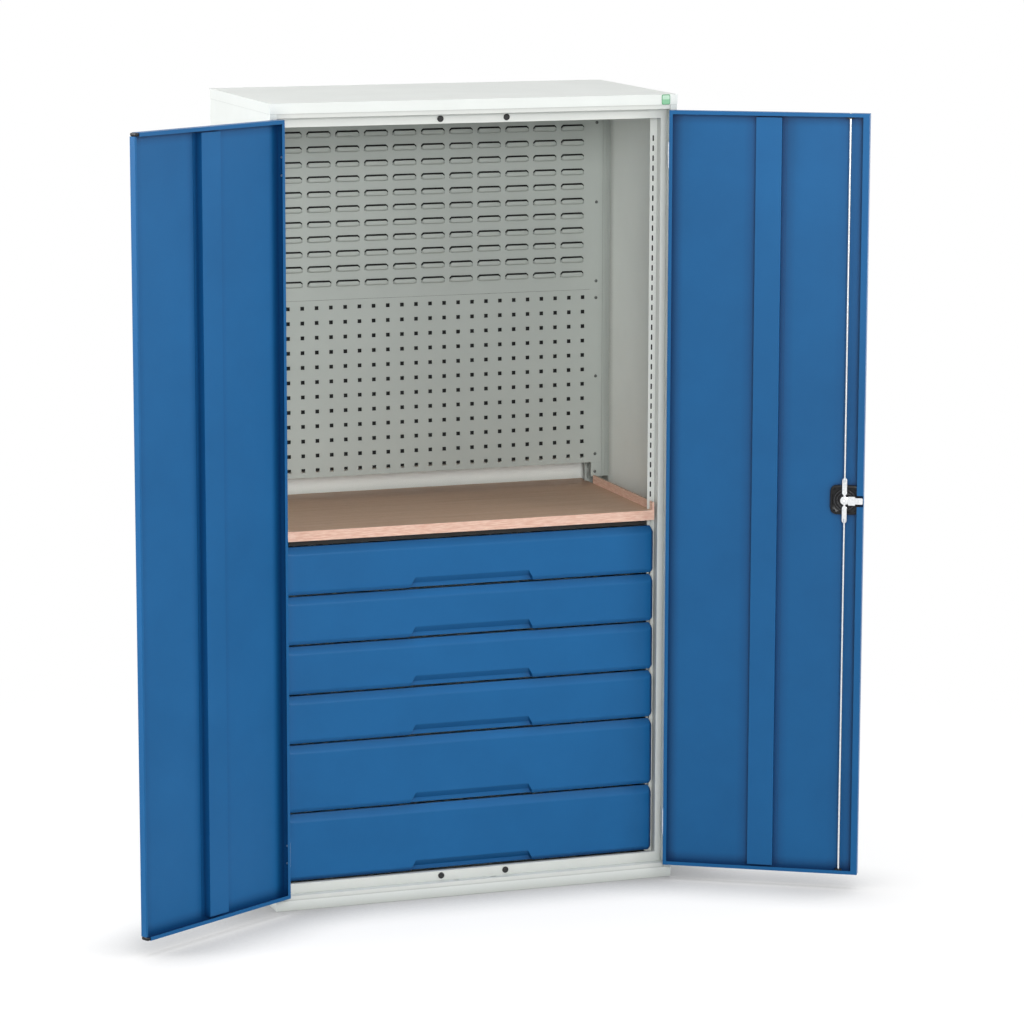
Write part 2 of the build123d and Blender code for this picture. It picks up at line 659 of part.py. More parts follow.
for number, (drawer_z, drawer_height) in enumerate(zip(DRAWER_Z, DRAWER_HEIGHTS), start=1):
    front_head = drawer_z + drawer_height - DRAWER_GAP
    outer_skin = front_shape(drawer_z, drawer_height - DRAWER_GAP, 0)
    inner_skin = front_shape(drawer_z, drawer_height - DRAWER_GAP, FRONT_SHEET)
    grip_lining = grip_shape(drawer_z, FRONT_SHEET)
    grip_hollow = grip_shape(drawer_z, 0)
    rim_y = (FRONT_BACK - FRONT_SHEET, FRONT_BACK)
    rim_half = FRONT_HALF_WIDTH - FRONT_RETURN
    with BuildPart() as drawer_front:
        add(outer_skin)
        add(inner_skin, mode=Mode.SUBTRACT)
        block((-FRONT_HALF_WIDTH, FRONT_HALF_WIDTH), rim_y, (drawer_z, front_head))
        block(
            (-rim_half, rim_half),
            rim_y,
            (drawer_z + FRONT_RETURN, front_head - FRONT_RETURN),
            mode=Mode.SUBTRACT,
        )
        add(grip_lining & outer_skin)
        add(grip_hollow, mode=Mode.SUBTRACT)
    drawer_front.part.label = f"drawer_{number}_front"
    export_step(drawer_front.part, f"parts/drawer_{number}_front.step")

    tray_foot = drawer_z + TRAY_LIFT
    tray_head = drawer_z + drawer_height - TRAY_HEADROOM
    with BuildPart() as drawer_tray:
        block((-TRAY_HALF_WIDTH, TRAY_HALF_WIDTH), (FRONT_BACK, TRAY_BACK), (tray_foot, tray_head))
        block(
            (-TRAY_HALF_WIDTH + SHEET, TRAY_HALF_WIDTH - SHEET),
            (FRONT_BACK + SHEET, TRAY_BACK - SHEET),
            (tray_foot + SHEET, tray_head),
            mode=Mode.SUBTRACT,
        )
    drawer_tray.part.label = f"drawer_{number}_tray"
    export_step(drawer_tray.part, f"parts/drawer_{number}_tray.step")

    runner_z = drawer_z + RUNNER_RISE
    runner_y = (RUNNER_FRONT, TRAY_BACK)
    with BuildPart() as tray_runners:
        channel(
            (TRAY_HALF_WIDTH, TRAY_HALF_WIDTH + RUNNER_SHEET),
            MIDDLE_WEB - RUNNER_SHEET / 2 - RUNNER_NEST,
            RUNNER_HALF_HEIGHT - 2 * RUNNER_NEST_STEP,
            runner_y,
            runner_z,
        )
        mirror(about=Plane.YZ)
    tray_runners.part.label = f"drawer_{number}_tray_runners"
    export_step(tray_runners.part, f"parts/drawer_{number}_tray_runners.step")

    with BuildPart() as middle_runners:
        channel(
            (MIDDLE_WEB - RUNNER_SHEET / 2, MIDDLE_WEB + RUNNER_SHEET / 2),
            RUNNER_WALL - RUNNER_NEST_STEP,
            RUNNER_HALF_HEIGHT - RUNNER_NEST_STEP,
            runner_y,
            runner_z,
        )
        mirror(about=Plane.YZ)
    middle_runners.part.label = f"drawer_{number}_middle_runners"
    export_step(middle_runners.part, f"parts/drawer_{number}_middle_runners.step")

# Doors, made in a frame of their own: X from the hinge axis to the free edge, Z up, on the open door


def door_plane(side):
    """The open door's frame, on its hinge axis at the floor."""
    return Plane(
        origin=(side * HINGE_AXIS_X, FRONT, 0),
        x_dir=(-side * cos(radians(DOOR_OPEN)), -sin(radians(DOOR_OPEN)), 0),
        z_dir=(0, 0, 1),
    )


def behind(side, *depths):
    """Depths behind a door's outer face, as Y in that door's frame."""
    return tuple(-side * depth for depth in depths)


def door_panel(side, free_edge, free_depth, free_lip):
    """A door sheet with four walls and the lips that they turn in to."""
    door_x = (HINGE_SIDE_GAP, free_edge)
    door_z = (DOOR_FOOT, DOOR_HEAD)
    lips = behind(side, DOOR_THICKNESS - SHEET, DOOR_THICKNESS)
    depth = behind(side, 0, DOOR_THICKNESS)
    block(door_x, behind(side, 0, SHEET), door_z)
    block((HINGE_SIDE_GAP, HINGE_SIDE_GAP + SHEET), depth, door_z)
    block((HINGE_SIDE_GAP, HINGE_SIDE_GAP + DOOR_LIP), lips, door_z)
    for edge, inward in ((DOOR_FOOT, 1), (DOOR_HEAD, -1)):
        block(door_x, depth, (edge, edge + inward * SHEET))
        block(door_x, lips, (edge, edge + inward * DOOR_LIP))
    free_y = behind(side, 0, free_depth)
    block((free_edge - SHEET, free_edge), free_y, door_z)
    block((free_edge - free_lip, free_edge), (free_y[1], free_y[1] + side * SHEET), door_z)
    for hinge_z in HINGE_HEIGHTS:
        for rivet_z in (hinge_z - RIVET_SPREAD / 2, hinge_z + RIVET_SPREAD / 2):
            rivet_hole(side, rivet_z, (HINGE_SIDE_GAP, HINGE_SIDE_GAP + SHEET))


def rivet_hole(side, rivet_z, x):
    """A hole for one rivet of a hinge."""
    rivet_y = -side * RIVET_INSET
    bar_x(rivet_y, rivet_z, x, RIVET_RADIUS + RIVET_HOLE_GAP, mode=Mode.SUBTRACT)


def stiffener(side):
    """A hat section up the middle of a door, with its flanges on the door's sheet."""
    middle = (HINGE_SIDE_GAP + DOOR_FREE) / 2
    half = HAT_WIDTH / 2
    stiffener_z = (DOOR_FOOT + DOOR_LIP + HAT_END_GAP, DOOR_HEAD - DOOR_LIP - HAT_END_GAP)
    block((middle - half, middle + half), behind(side, HAT_DEPTH, SHEET + HAT_DEPTH), stiffener_z)
    for sign in (-1, 1):
        web = (middle + sign * half, middle + sign * (half - SHEET))
        flange = (middle + sign * half, middle + sign * (half + HAT_FLANGE))
        block(web, behind(side, SHEET, SHEET + HAT_DEPTH), stiffener_z)
        block(flange, behind(side, SHEET, 2 * SHEET), stiffener_z)


def door_leaf(side, hinge_z):
    """The door's half of a hinge: its upper knuckle, and a leaf riveted to the door's edge."""
    foot = hinge_z - HINGE_HEIGHT / 2
    leaf_x = (HINGE_SIDE_GAP - LEAF_SHEET, HINGE_SIDE_GAP)
    knuckle_z = (hinge_z + KNUCKLE_GAP / 2, foot + HINGE_HEIGHT)
    block(leaf_x, behind(side, 0, LEAF_REACH), knuckle_z)
    block(leaf_x, behind(side, LEAF_RELIEF, LEAF_REACH), (foot, foot + HINGE_HEIGHT))
    bar_z(0, 0, knuckle_z, KNUCKLE_RADIUS)
    bar_z(0, 0, knuckle_z, PIN_RADIUS + PIN_GAP, mode=Mode.SUBTRACT)
    for rivet_z in (hinge_z - RIVET_SPREAD / 2, hinge_z + RIVET_SPREAD / 2):
        rivet_hole(side, rivet_z, leaf_x)
        rivet_y = -side * RIVET_INSET
        shank = (leaf_x[0], HINGE_SIDE_GAP + SHEET)
        bar_x(rivet_y, rivet_z, shank, RIVET_RADIUS)
        bar_x(rivet_y, rivet_z, (shank[0] - RIVET_HEAD, shank[0]), RIVET_HEAD_RADIUS)
        bar_x(rivet_y, rivet_z, (shank[1], shank[1] + RIVET_HEAD), RIVET_HEAD_RADIUS)


with BuildPart(door_plane(-1)) as left_door_panel:
    door_panel(-1, DOOR_FREE - EDGE_STRIP, LEFT_EDGE_DEPTH, LEFT_EDGE_RETURN)
    for edge, inward in ((DOOR_FOOT, 1), (DOOR_HEAD, -1)):
        block(
            (DOOR_FREE - CAP_SIZE, DOOR_FREE),
            (0, DOOR_THICKNESS),
            (edge, edge + inward * CAP_SIZE),
            mode=Mode.SUBTRACT,
        )
left_door_panel.part.label = "left_door_panel"
export_step(left_door_panel.part, "parts/left_door_panel.step")

with BuildPart(door_plane(-1)) as left_door_edge_strip:
    block(
        (DOOR_FREE - EDGE_STRIP, DOOR_FREE),
        (0, LEFT_EDGE_DEPTH),
        (DOOR_FOOT + CAP_SIZE, DOOR_HEAD - CAP_SIZE),
    )
    along_door = Axis((0, 0, 0), door_plane(-1).x_dir)
    fillet(edges().filter_by(Axis.Z).sort_by(along_door)[-2:], EDGE_STRIP_FILLET)
left_door_edge_strip.part.label = "left_door_edge_strip"
export_step(left_door_edge_strip.part, "parts/left_door_edge_strip.step")

with BuildPart(door_plane(-1)) as left_door_end_caps:
    across_door = Axis((0, 0, 0), door_plane(-1).y_dir)
    along_door = Axis((0, 0, 0), door_plane(-1).x_dir)
    for edge, inward in ((DOOR_FOOT, 1), (DOOR_HEAD, -1)):
        block((DOOR_FREE - CAP_SIZE, DOOR_FREE), (0, DOOR_THICKNESS), (edge, edge + inward * CAP_SIZE))
    free_edges = edges().filter_by(across_door).group_by(along_door)[-1]
    fillet([free_edges.sort_by(Axis.Z)[0], free_edges.sort_by(Axis.Z)[-1]], CAP_FILLET)
left_door_end_caps.part.label = "left_door_end_caps"
export_step(left_door_end_caps.part, "parts/left_door_end_caps.step")

with BuildPart(door_plane(-1)) as left_door_stiffener:
    stiffener(-1)
left_door_stiffener.part.label = "left_door_stiffener"
export_step(left_door_stiffener.part, "parts/left_door_stiffener.step")

with BuildPart(door_plane(1)) as right_door_stiffener:
    stiffener(1)
right_door_stiffener.part.label = "right_door_stiffener"
export_step(right_door_stiffener.part, "parts/right_door_stiffener.step")

# Hinges: the frame's half stands on the side panel and carries the pin, and the door's half hangs on it

with BuildPart() as hinge_frame_leaves:
    for hinge_z in HINGE_HEIGHTS:
        foot = hinge_z - HINGE_HEIGHT / 2
        leaf_x = (FLANGE_EDGE - LEAF_SHEET, FLANGE_EDGE)
        knuckle_z = (foot, hinge_z - KNUCKLE_GAP / 2)
        block(leaf_x, (FRONT, FRONT + LEAF_REACH), knuckle_z)
        block(leaf_x, (FRONT + LEAF_RELIEF, FRONT + LEAF_REACH), (foot, foot + HINGE_HEIGHT))
        bar_z(HINGE_AXIS_X, FRONT, knuckle_z, KNUCKLE_RADIUS)
        bar_z(HINGE_AXIS_X, FRONT, knuckle_z, PIN_RADIUS + PIN_GAP, mode=Mode.SUBTRACT)
    mirror(about=Plane.YZ)
hinge_frame_leaves.part.label = "hinge_frame_leaves"
export_step(hinge_frame_leaves.part, "parts/hinge_frame_leaves.step")

with BuildPart() as hinge_pins:
    for hinge_z in HINGE_HEIGHTS:
        foot = hinge_z - HINGE_HEIGHT / 2
        bar_z(HINGE_AXIS_X, FRONT, (foot, foot + HINGE_HEIGHT), PIN_RADIUS)
        bar_z(HINGE_AXIS_X, FRONT, (foot - PIN_HEAD, foot), PIN_HEAD_RADIUS)
    mirror(about=Plane.YZ)
hinge_pins.part.label = "hinge_pins"
export_step(hinge_pins.part, "parts/hinge_pins.step")

for side, hand in ((-1, "left"), (1, "right")):
    with BuildPart(door_plane(side)) as door_leaves:
        for hinge_z in HINGE_HEIGHTS:
            door_leaf(side, hinge_z)
    door_leaves.part.label = f"{hand}_door_hinge_leaves"
    export_step(door_leaves.part, f"parts/{hand}_door_hinge_leaves.step")

# Right door, with the lock: a spindle that throws two rods and a side bolt

with BuildPart(door_plane(1)) as right_door_panel:
    door_panel(1, DOOR_FREE, DOOR_THICKNESS, FREE_LIP)
    bar_y(ROD_X, LOCK_Z, behind(1, 0, SHEET), SPINDLE_RADIUS + SPINDLE_HOLE_GAP, mode=Mode.SUBTRACT)
    window_half = BOLT_HEIGHT / 2 + BOLT_WINDOW_GAP
    block(
        (DOOR_FREE - FREE_LIP, DOOR_FREE),
        behind(1, LEFT_EDGE_DEPTH, DOOR_THICKNESS),
        (LOCK_Z - window_half, LOCK_Z + window_half),
        mode=Mode.SUBTRACT,
    )
    for edge, inward in ((DOOR_FOOT, 1), (DOOR_HEAD, -1)):
        bar_z(ROD_X, -ROD_LINE, (edge, edge + inward * SHEET), ROD_RADIUS + ROD_HOLE_GAP, mode=Mode.SUBTRACT)
right_door_panel.part.label = "right_door_panel"
export_step(right_door_panel.part, "parts/right_door_panel.step")

with BuildPart(door_plane(1)) as lock_housing:
    housing_half = HOUSING_SIZE / 2
    housing_face = SHEET + HOUSING_DEPTH
    block(
        (ROD_X - housing_half, ROD_X + housing_half),
        behind(1, SHEET, housing_face),
        (LOCK_Z - housing_half, LOCK_Z + housing_half),
    )
    fillet(edges().filter_by(Axis((0, 0, 0), door_plane(1).y_dir)), HOUSING_FILLET)
    bar_y(ROD_X, LOCK_Z, behind(1, housing_face, housing_face + RING_STAND), RING_RADIUS)
    bar_y(
        ROD_X,
        LOCK_Z,
        behind(1, housing_face, housing_face + RING_STAND),
        RING_RADIUS - RING_WIDTH,
        mode=Mode.SUBTRACT,
    )
    bar_y(ROD_X, LOCK_Z, behind(1, SHEET, housing_face), SPINDLE_RADIUS + SPINDLE_GAP, mode=Mode.SUBTRACT)
lock_housing.part.label = "lock_housing"
export_step(lock_housing.part, "parts/lock_housing.step")

with BuildPart(door_plane(1)) as lock_hub:
    hub_foot = SHEET + HOUSING_DEPTH + HUB_SEAT_GAP
    hub_head = hub_foot + HUB_LENGTH
    bar_y(ROD_X, LOCK_Z, behind(1, hub_foot, hub_head), HUB_RADIUS)
    bar_y(
        ROD_X,
        LOCK_Z,
        behind(1, hub_head - HUB_SOCKET_DEPTH, hub_head),
        HUB_SOCKET_RADIUS,
        mode=Mode.SUBTRACT,
    )
lock_hub.part.label = "lock_hub"
export_step(lock_hub.part, "parts/lock_hub.step")

with BuildPart(door_plane(1)) as turn_handle:
    disc_face = HANDLE_SEAT_GAP + HANDLE_DISC
    lever_face = disc_face + HANDLE_LEVER_THICKNESS
    lever_half = HANDLE_LEVER_WIDTH / 2
    lever_end = LOCK_Z - HANDLE_LEVER_LENGTH
    bar_y(ROD_X, LOCK_Z, behind(1, -HANDLE_SEAT_GAP, hub_foot), SPINDLE_RADIUS)
    bar_y(ROD_X, LOCK_Z, behind(1, -disc_face, -HANDLE_SEAT_GAP), HANDLE_RADIUS)
    block((ROD_X - lever_half, ROD_X + lever_half), behind(1, -lever_face, -disc_face), (lever_end, LOCK_Z))
    for lever_z in (lever_end, LOCK_Z):
        bar_y(ROD_X, lever_z, behind(1, -lever_face, -disc_face), lever_half)
    bar_y(
        ROD_X,
        LOCK_Z,
        behind(1, -lever_face, KEY_DEPTH - lever_face),
        KEY_RADIUS + SPINDLE_GAP,
        mode=Mode.SUBTRACT,
    )
turn_handle.part.label = "turn_handle"
export_step(turn_handle.part, "parts/turn_handle.step")

with BuildPart(door_plane(1)) as key_cylinder:
    key_face = lever_face + KEY_STAND
    bar_y(ROD_X, LOCK_Z, behind(1, -key_face, KEY_DEPTH - HUB_SEAT_GAP - lever_face), KEY_RADIUS)
    block(
        (ROD_X - KEY_SLOT_WIDTH / 2, ROD_X + KEY_SLOT_WIDTH / 2),
        behind(1, -key_face, KEY_SLOT_DEPTH - key_face),
        (LOCK_Z - KEY_SLOT_LENGTH / 2, LOCK_Z + KEY_SLOT_LENGTH / 2),
        mode=Mode.SUBTRACT,
    )
key_cylinder.part.label = "key_cylinder"
export_step(key_cylinder.part, "parts/key_cylinder.step")

for name, toward, tip in (("upper_rod", 1, DOOR_HEAD + ROD_TIP), ("lower_rod", -1, DOOR_FOOT - ROD_TIP)):
    with BuildPart(door_plane(1)) as lock_rod:
        adaptor_foot = LOCK_Z + toward * ROD_START
        adaptor_head = adaptor_foot + toward * ADAPTOR_LENGTH
        block(
            (ROD_X - ADAPTOR_WIDTH / 2, ROD_X + ADAPTOR_WIDTH / 2),
            behind(1, ROD_LINE - ADAPTOR_THICKNESS / 2, ROD_LINE + ADAPTOR_THICKNESS / 2),
            (adaptor_foot, adaptor_head),
        )
        bar_z(ROD_X, -ROD_LINE, (adaptor_head - toward * ADAPTOR_WIDTH, tip), ROD_RADIUS)
    lock_rod.part.label = name
    export_step(lock_rod.part, f"parts/{name}.step")

with BuildPart(door_plane(1)) as rod_guides:
    for edge, inward in ((DOOR_FOOT, 1), (DOOR_HEAD, -1)):
        guide_z = (edge + inward * SHEET, edge + inward * (SHEET + GUIDE_HEIGHT))
        block(
            (ROD_X - GUIDE_WIDTH / 2, ROD_X + GUIDE_WIDTH / 2),
            behind(1, ROD_LINE - GUIDE_DEPTH / 2, ROD_LINE + GUIDE_DEPTH / 2),
            guide_z,
        )
        bar_z(ROD_X, -ROD_LINE, guide_z, ROD_RADIUS + GUIDE_BORE_GAP, mode=Mode.SUBTRACT)
rod_guides.part.label = "rod_guides"
export_step(rod_guides.part, "parts/rod_guides.step")

with BuildPart(door_plane(1)) as side_bolt:
    bolt_y = behind(1, BOLT_STAND, BOLT_STAND + BOLT_THICKNESS)
    bolt_tip = DOOR_FREE - FIT_GAP
    bolt_foot = ROD_X + BOLT_START
    block((bolt_foot, bolt_tip), bolt_y, (LOCK_Z - BOLT_NECK / 2, LOCK_Z + BOLT_NECK / 2))
    block(
        (bolt_foot + BOLT_NECK_LENGTH, bolt_tip),
        bolt_y,
        (LOCK_Z - BOLT_HEIGHT / 2, LOCK_Z + BOLT_HEIGHT / 2),
    )
side_bolt.part.label = "side_bolt"
export_step(side_bolt.part, "parts/side_bolt.step")
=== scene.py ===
# %% [markdown]
# # A tool cabinet with doors, dressed over its CAD frame
# The cabinet comes in as a fixed frame: every sheet, runner and hinge already has its true place in
# metres. This script gives each of them its real finish, and adds the small parts whose shape a
# plain solid only hints at.

# %% Load the frame
import json

import bmesh
import bpy
import numpy as np
from mathutils import Matrix, Vector


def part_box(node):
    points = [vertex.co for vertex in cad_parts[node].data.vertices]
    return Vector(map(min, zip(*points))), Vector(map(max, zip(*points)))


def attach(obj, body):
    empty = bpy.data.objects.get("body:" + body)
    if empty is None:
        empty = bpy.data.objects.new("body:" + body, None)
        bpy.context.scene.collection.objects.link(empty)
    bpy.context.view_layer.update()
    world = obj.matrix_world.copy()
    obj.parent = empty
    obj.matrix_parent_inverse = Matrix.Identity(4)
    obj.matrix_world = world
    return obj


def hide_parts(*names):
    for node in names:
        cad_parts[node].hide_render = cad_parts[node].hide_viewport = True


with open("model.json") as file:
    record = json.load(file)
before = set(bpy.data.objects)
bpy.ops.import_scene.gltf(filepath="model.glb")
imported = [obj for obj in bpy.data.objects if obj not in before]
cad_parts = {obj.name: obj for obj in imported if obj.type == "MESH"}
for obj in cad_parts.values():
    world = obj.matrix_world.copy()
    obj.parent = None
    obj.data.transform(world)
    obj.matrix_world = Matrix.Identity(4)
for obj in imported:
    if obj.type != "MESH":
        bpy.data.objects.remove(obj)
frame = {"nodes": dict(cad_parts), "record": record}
scene = bpy.context.scene
scene.view_settings.view_transform = "Standard"
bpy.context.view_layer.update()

# %% [markdown]
# ## The camera
# A tall cabinet looks calm through a long lens: from nine metres away its uprights hardly lean. The
# camera stands to the front left, a little above the roof, and is aimed by two angles, so that its
# three axes can be worked out instead of being turned by hand.

# %% Camera
CAMERA_PLACE = np.array([-3.15598, -9.50606, 2.71979])
CAMERA_TURN = np.radians(19.3853)
CAMERA_TILT = np.radians(-10.122)
CAMERA_ROLL = np.radians(0.12)
CAMERA_LENS = 140.453
forward = np.array(
    [
        np.sin(CAMERA_TURN) * np.cos(CAMERA_TILT),
        np.cos(CAMERA_TURN) * np.cos(CAMERA_TILT),
        np.sin(CAMERA_TILT),
    ]
)
level = np.array([np.cos(CAMERA_TURN), -np.sin(CAMERA_TURN), 0.0])
upright = np.cross(level, forward)
right = np.cos(CAMERA_ROLL) * level + np.sin(CAMERA_ROLL) * upright
up = np.cos(CAMERA_ROLL) * upright - np.sin(CAMERA_ROLL) * level
camera = bpy.data.objects.new("camera", bpy.data.cameras.new("camera"))
camera.data.lens = CAMERA_LENS
camera.data.sensor_width = 36.0
camera.data.clip_end = 100.0
placing = np.eye(4)
placing[:3, 0] = right
placing[:3, 1] = up
placing[:3, 2] = -forward
placing[:3, 3] = CAMERA_PLACE
camera.matrix_world = Matrix(placing.tolist())
scene.collection.objects.link(camera)
scene.camera = camera
print("camera aims along", forward.round(4), "through", CAMERA_LENS, "mm")

# %% [markdown]
# ## Colours and nodes
# Paint makers name a colour by its sRGB value, but a shader adds light up in linear values, so one
# function turns hex into linear. A second small function adds any node, and links every input that
# is given a socket.

# %% Helpers for colours and nodes
def linear(hex_colour):
    """sRGB hex to linear: below 0.04045 a straight division by 12.92, above it a power of 2.4."""
    value = np.array([int(hex_colour[place : place + 2], 16) for place in (1, 3, 5)]) / 255
    low, high = value / 12.92, ((value + 0.055) / 1.055) ** 2.4
    return (*np.where(value <= 0.04045, low, high).tolist(), 1.0)


def add_node(tree, kind, inputs=None, **settings):
    """Adds one node of a kind, such as Mix. Each input takes a value, or a link from a socket."""
    made = tree.nodes.new("ShaderNode" + kind)
    for name, value in settings.items():
        setattr(made, name, value)
    for socket, value in (inputs or {}).items():
        if isinstance(value, bpy.types.NodeSocket):
            tree.links.new(value, made.inputs[socket])
        else:
            made.inputs[socket].default_value = value
    return made


def new_finish(name):
    """An empty material with its tree and the socket that its shader goes to."""
    finish = bpy.data.materials.new(name)
    finish.use_nodes = True
    finish.node_tree.nodes.clear()
    output = finish.node_tree.nodes.new("ShaderNodeOutputMaterial")
    return finish, finish.node_tree, output.inputs["Surface"]


# %% [markdown]
# ## Studio light
# A large soft lamp stands far out in front, near the camera's side, so that it looks straight into
# the compartment and leaves hardly a shadow there. One to the right lights the left door, one far
# to the left lights the cabinet's own side, two more light the far side and the back, and a weaker
# one above keeps the roof and the floor white. The tent round it all is drawn pure white to the
# camera and nearly as bright in reflections, and casts a much dimmer light than it shows.

# %% World
TENT_WALL = 0.05
TENT_ROOF = 0.08
TENT_GLEAM = 0.9
scene.world = bpy.data.worlds.new("light_tent")
scene.world.use_nodes = True
tent = scene.world.node_tree
tent.nodes.clear()
ray = add_node(tent, "LightPath")
gleam = add_node(
    tent, "Math", {0: ray.outputs["Is Glossy Ray"], 1: TENT_GLEAM}, operation="MULTIPLY"
)
seen = add_node(
    tent, "Math", {0: ray.outputs["Is Camera Ray"], 1: gleam.outputs[0]}, operation="MAXIMUM"
)
seen = add_node(
    tent, "Math", {0: seen.outputs[0], 1: ray.outputs["Is Transmission Ray"]}, operation="MAXIMUM"
)
aim = add_node(tent, "SeparateXYZ", {0: add_node(tent, "TexCoord").outputs["Generated"]})
glow = add_node(
    tent, "MapRange", {"Value": aim.outputs["Z"], "To Min": TENT_WALL, "To Max": TENT_ROOF}
)
power = add_node(tent, "Math", {0: seen.outputs[0], 1: glow.outputs[0]}, operation="MAXIMUM")
wall = add_node(tent, "Background", {"Color": linear("#ffffff"), "Strength": power.outputs[0]})
add_node(tent, "OutputWorld", {"Surface": wall.outputs[0]})
print("tent shown at 1.0, casting", TENT_WALL, "to", TENT_ROOF)

# %% Lamps
LAMPS = (
    ("front_softbox", (-1.5, -8.5, 3.2), (0.0, -0.3, 1.4), 3.6, 440.0),
    ("right_softbox", (4.8, -3.5, 3.0), (-0.2, -0.2, 1.0), 2.8, 112.0),
    ("left_softbox", (-6.5, 0.5, 3.4), (0.0, 0.0, 1.2), 2.8, 300.0),
    ("near_left_softbox", (-4.7, -3.4, 3.0), (0.2, -0.2, 1.0), 2.8, 28.0),
    ("far_right_softbox", (6.5, 1.5, 1.3), (0.0, 0.0, 1.1), 1.8, 110.0),
    ("rear_softbox", (1.2, 6.5, 1.2), (0.0, 0.0, 1.1), 1.8, 130.0),
    ("roof_softbox", (0.0, -0.6, 7.4), (0.0, -0.2, 0.9), 3.0, 120.0),
)
for lamp_name, stand, target, size, power in LAMPS:
    lamp = bpy.data.objects.new(lamp_name, bpy.data.lights.new(lamp_name, "AREA"))
    lamp.data.shape = "DISK"
    lamp.data.size = size
    lamp.data.energy = power
    lamp.location = stand
    lamp.rotation_mode = "QUATERNION"
    lamp.rotation_quaternion = (Vector(target) - Vector(stand)).to_track_quat("-Z", "Y")
    scene.collection.objects.link(lamp)
print("lamps", [row[0] for row in LAMPS])

# %% [markdown]
# ## The floor
# A studio rolls white paper out under the object. Here it is a flat sheet whose own colour is a
# pale grey, so that little light bounces back up. To the camera it glows a little as well, which
# lifts the lit paper to white and leaves the soft shadows, and far from the object it fades into
# the white tent. Near the object the glow is darkened by ambient occlusion: a painted contact
# shadow.

# %% Floor
FLOOR_HALF = 14.0
FLOOR_DROP = 0.0006
corners = [
    (x, y, -FLOOR_DROP) for x, y in FLOOR_HALF * np.array([(-1, -1), (1, -1), (1, 1), (-1, 1)])
]
floor_mesh = bpy.data.meshes.new("paper_floor")
floor_mesh.from_pydata(corners, [], [(0, 1, 2, 3)])
floor = bpy.data.objects.new("paper_floor", floor_mesh)
scene.collection.objects.link(floor)
print("floor", 2 * FLOOR_HALF, "m across")

# %% Floor paper
FADE = (1.35, 2.6)  # metres from the middle over which the paper turns pure white
CONTACT_REACH = 0.24
CONTACT_OPEN = (0.50, 0.98)  # share of open sky where the painted contact shadow is full, and gone
CONTACT_DARKEST = 0.20
PAPER_GLOW = 0.80
paper, tree, surface = new_finish("white_background_paper")
ray = add_node(tree, "LightPath")
place = add_node(tree, "TexCoord").outputs["Object"]
distance = add_node(tree, "VectorMath", {0: place}, operation="LENGTH").outputs["Value"]
fade = add_node(
    tree,
    "MapRange",
    {"Value": distance, "From Min": FADE[0], "From Max": FADE[1]},
    interpolation_type="SMOOTHSTEP",
)
fibre = add_node(tree, "TexNoise", {"Vector": place, "Scale": 400.0, "Detail": 3.0})
tooth = add_node(
    tree, "Bump", {"Height": fibre.outputs["Fac"], "Strength": 0.05, "Distance": 0.0005}
)
matt = add_node(tree, "BsdfDiffuse", {"Color": linear("#9c9c9c"), "Normal": tooth.outputs[0]})
# painted contact shadow: ambient occlusion darkens the paper's glow near the object
near = add_node(tree, "AmbientOcclusion", {"Distance": CONTACT_REACH}, samples=8)
contact = add_node(
    tree,
    "MapRange",
    {
        "Value": near.outputs["AO"],
        "From Min": CONTACT_OPEN[0],
        "From Max": CONTACT_OPEN[1],
        "To Min": CONTACT_DARKEST,
    },
)
shade = add_node(
    tree,
    "Mix",
    {0: contact.outputs[0], 6: linear("#000000"), 7: linear("#ffffff")},
    data_type="RGBA",
)
pale = add_node(tree, "BsdfDiffuse", {"Color": linear("#8e8e8e"), "Normal": tooth.outputs[0]})
glow = add_node(tree, "Emission", {"Color": shade.outputs[2], "Strength": PAPER_GLOW})
white = add_node(tree, "Emission", {"Color": linear("#ffffff"), "Strength": 1.0})
lifted = add_node(tree, "AddShader", {0: pale.outputs[0], 1: glow.outputs[0]})
faded = add_node(tree, "MixShader", {0: fade.outputs[0], 1: lifted.outputs[0], 2: white.outputs[0]})
seen = add_node(
    tree,
    "Math",
    {0: ray.outputs["Is Camera Ray"], 1: ray.outputs["Is Glossy Ray"]},
    operation="MAXIMUM",
)
shown = add_node(tree, "MixShader", {0: seen.outputs[0], 1: matt.outputs[0], 2: faded.outputs[0]})
tree.links.new(shown.outputs[0], surface)
floor_mesh.materials.append(paper)
print("paper fades to white from", FADE[0], "to", FADE[1], "m")

# %% [markdown]
# ## Powder coat
# Nearly all of this cabinet is folded steel sheet under powder coat: a dry plastic powder that is
# sprayed on and baked until it flows together. It dries with a faint orange-peel skin about a
# millimetre and a half across, and its gloss wanders a little from place to place. One function
# makes the finish, so that the blue doors and drawers and the pale body share it and differ only in
# colour, gloss, how thick the skin looks and their colour of painted shade: in folds, seams and
# recesses, where ambient occlusion finds less open room, the coat is painted darker.

# %% Powder coat
PEEL = 0.0026  # the real skin is nearer 1.5 mm; drawn a little coarser so that it shows
CLOUD = 0.22  # colour and gloss wander over about a hand's length
FOLD_SHADE_REACH = 0.035  # painted shade darkens the coat within a few centimetres of folds and seams
FOLD_SHADE_OPEN = (0.38, 0.97)  # share of open room where the painted shade is full, and gone
SPECK = 0.12  # how far one grain of the skin shifts the blend of the two tones


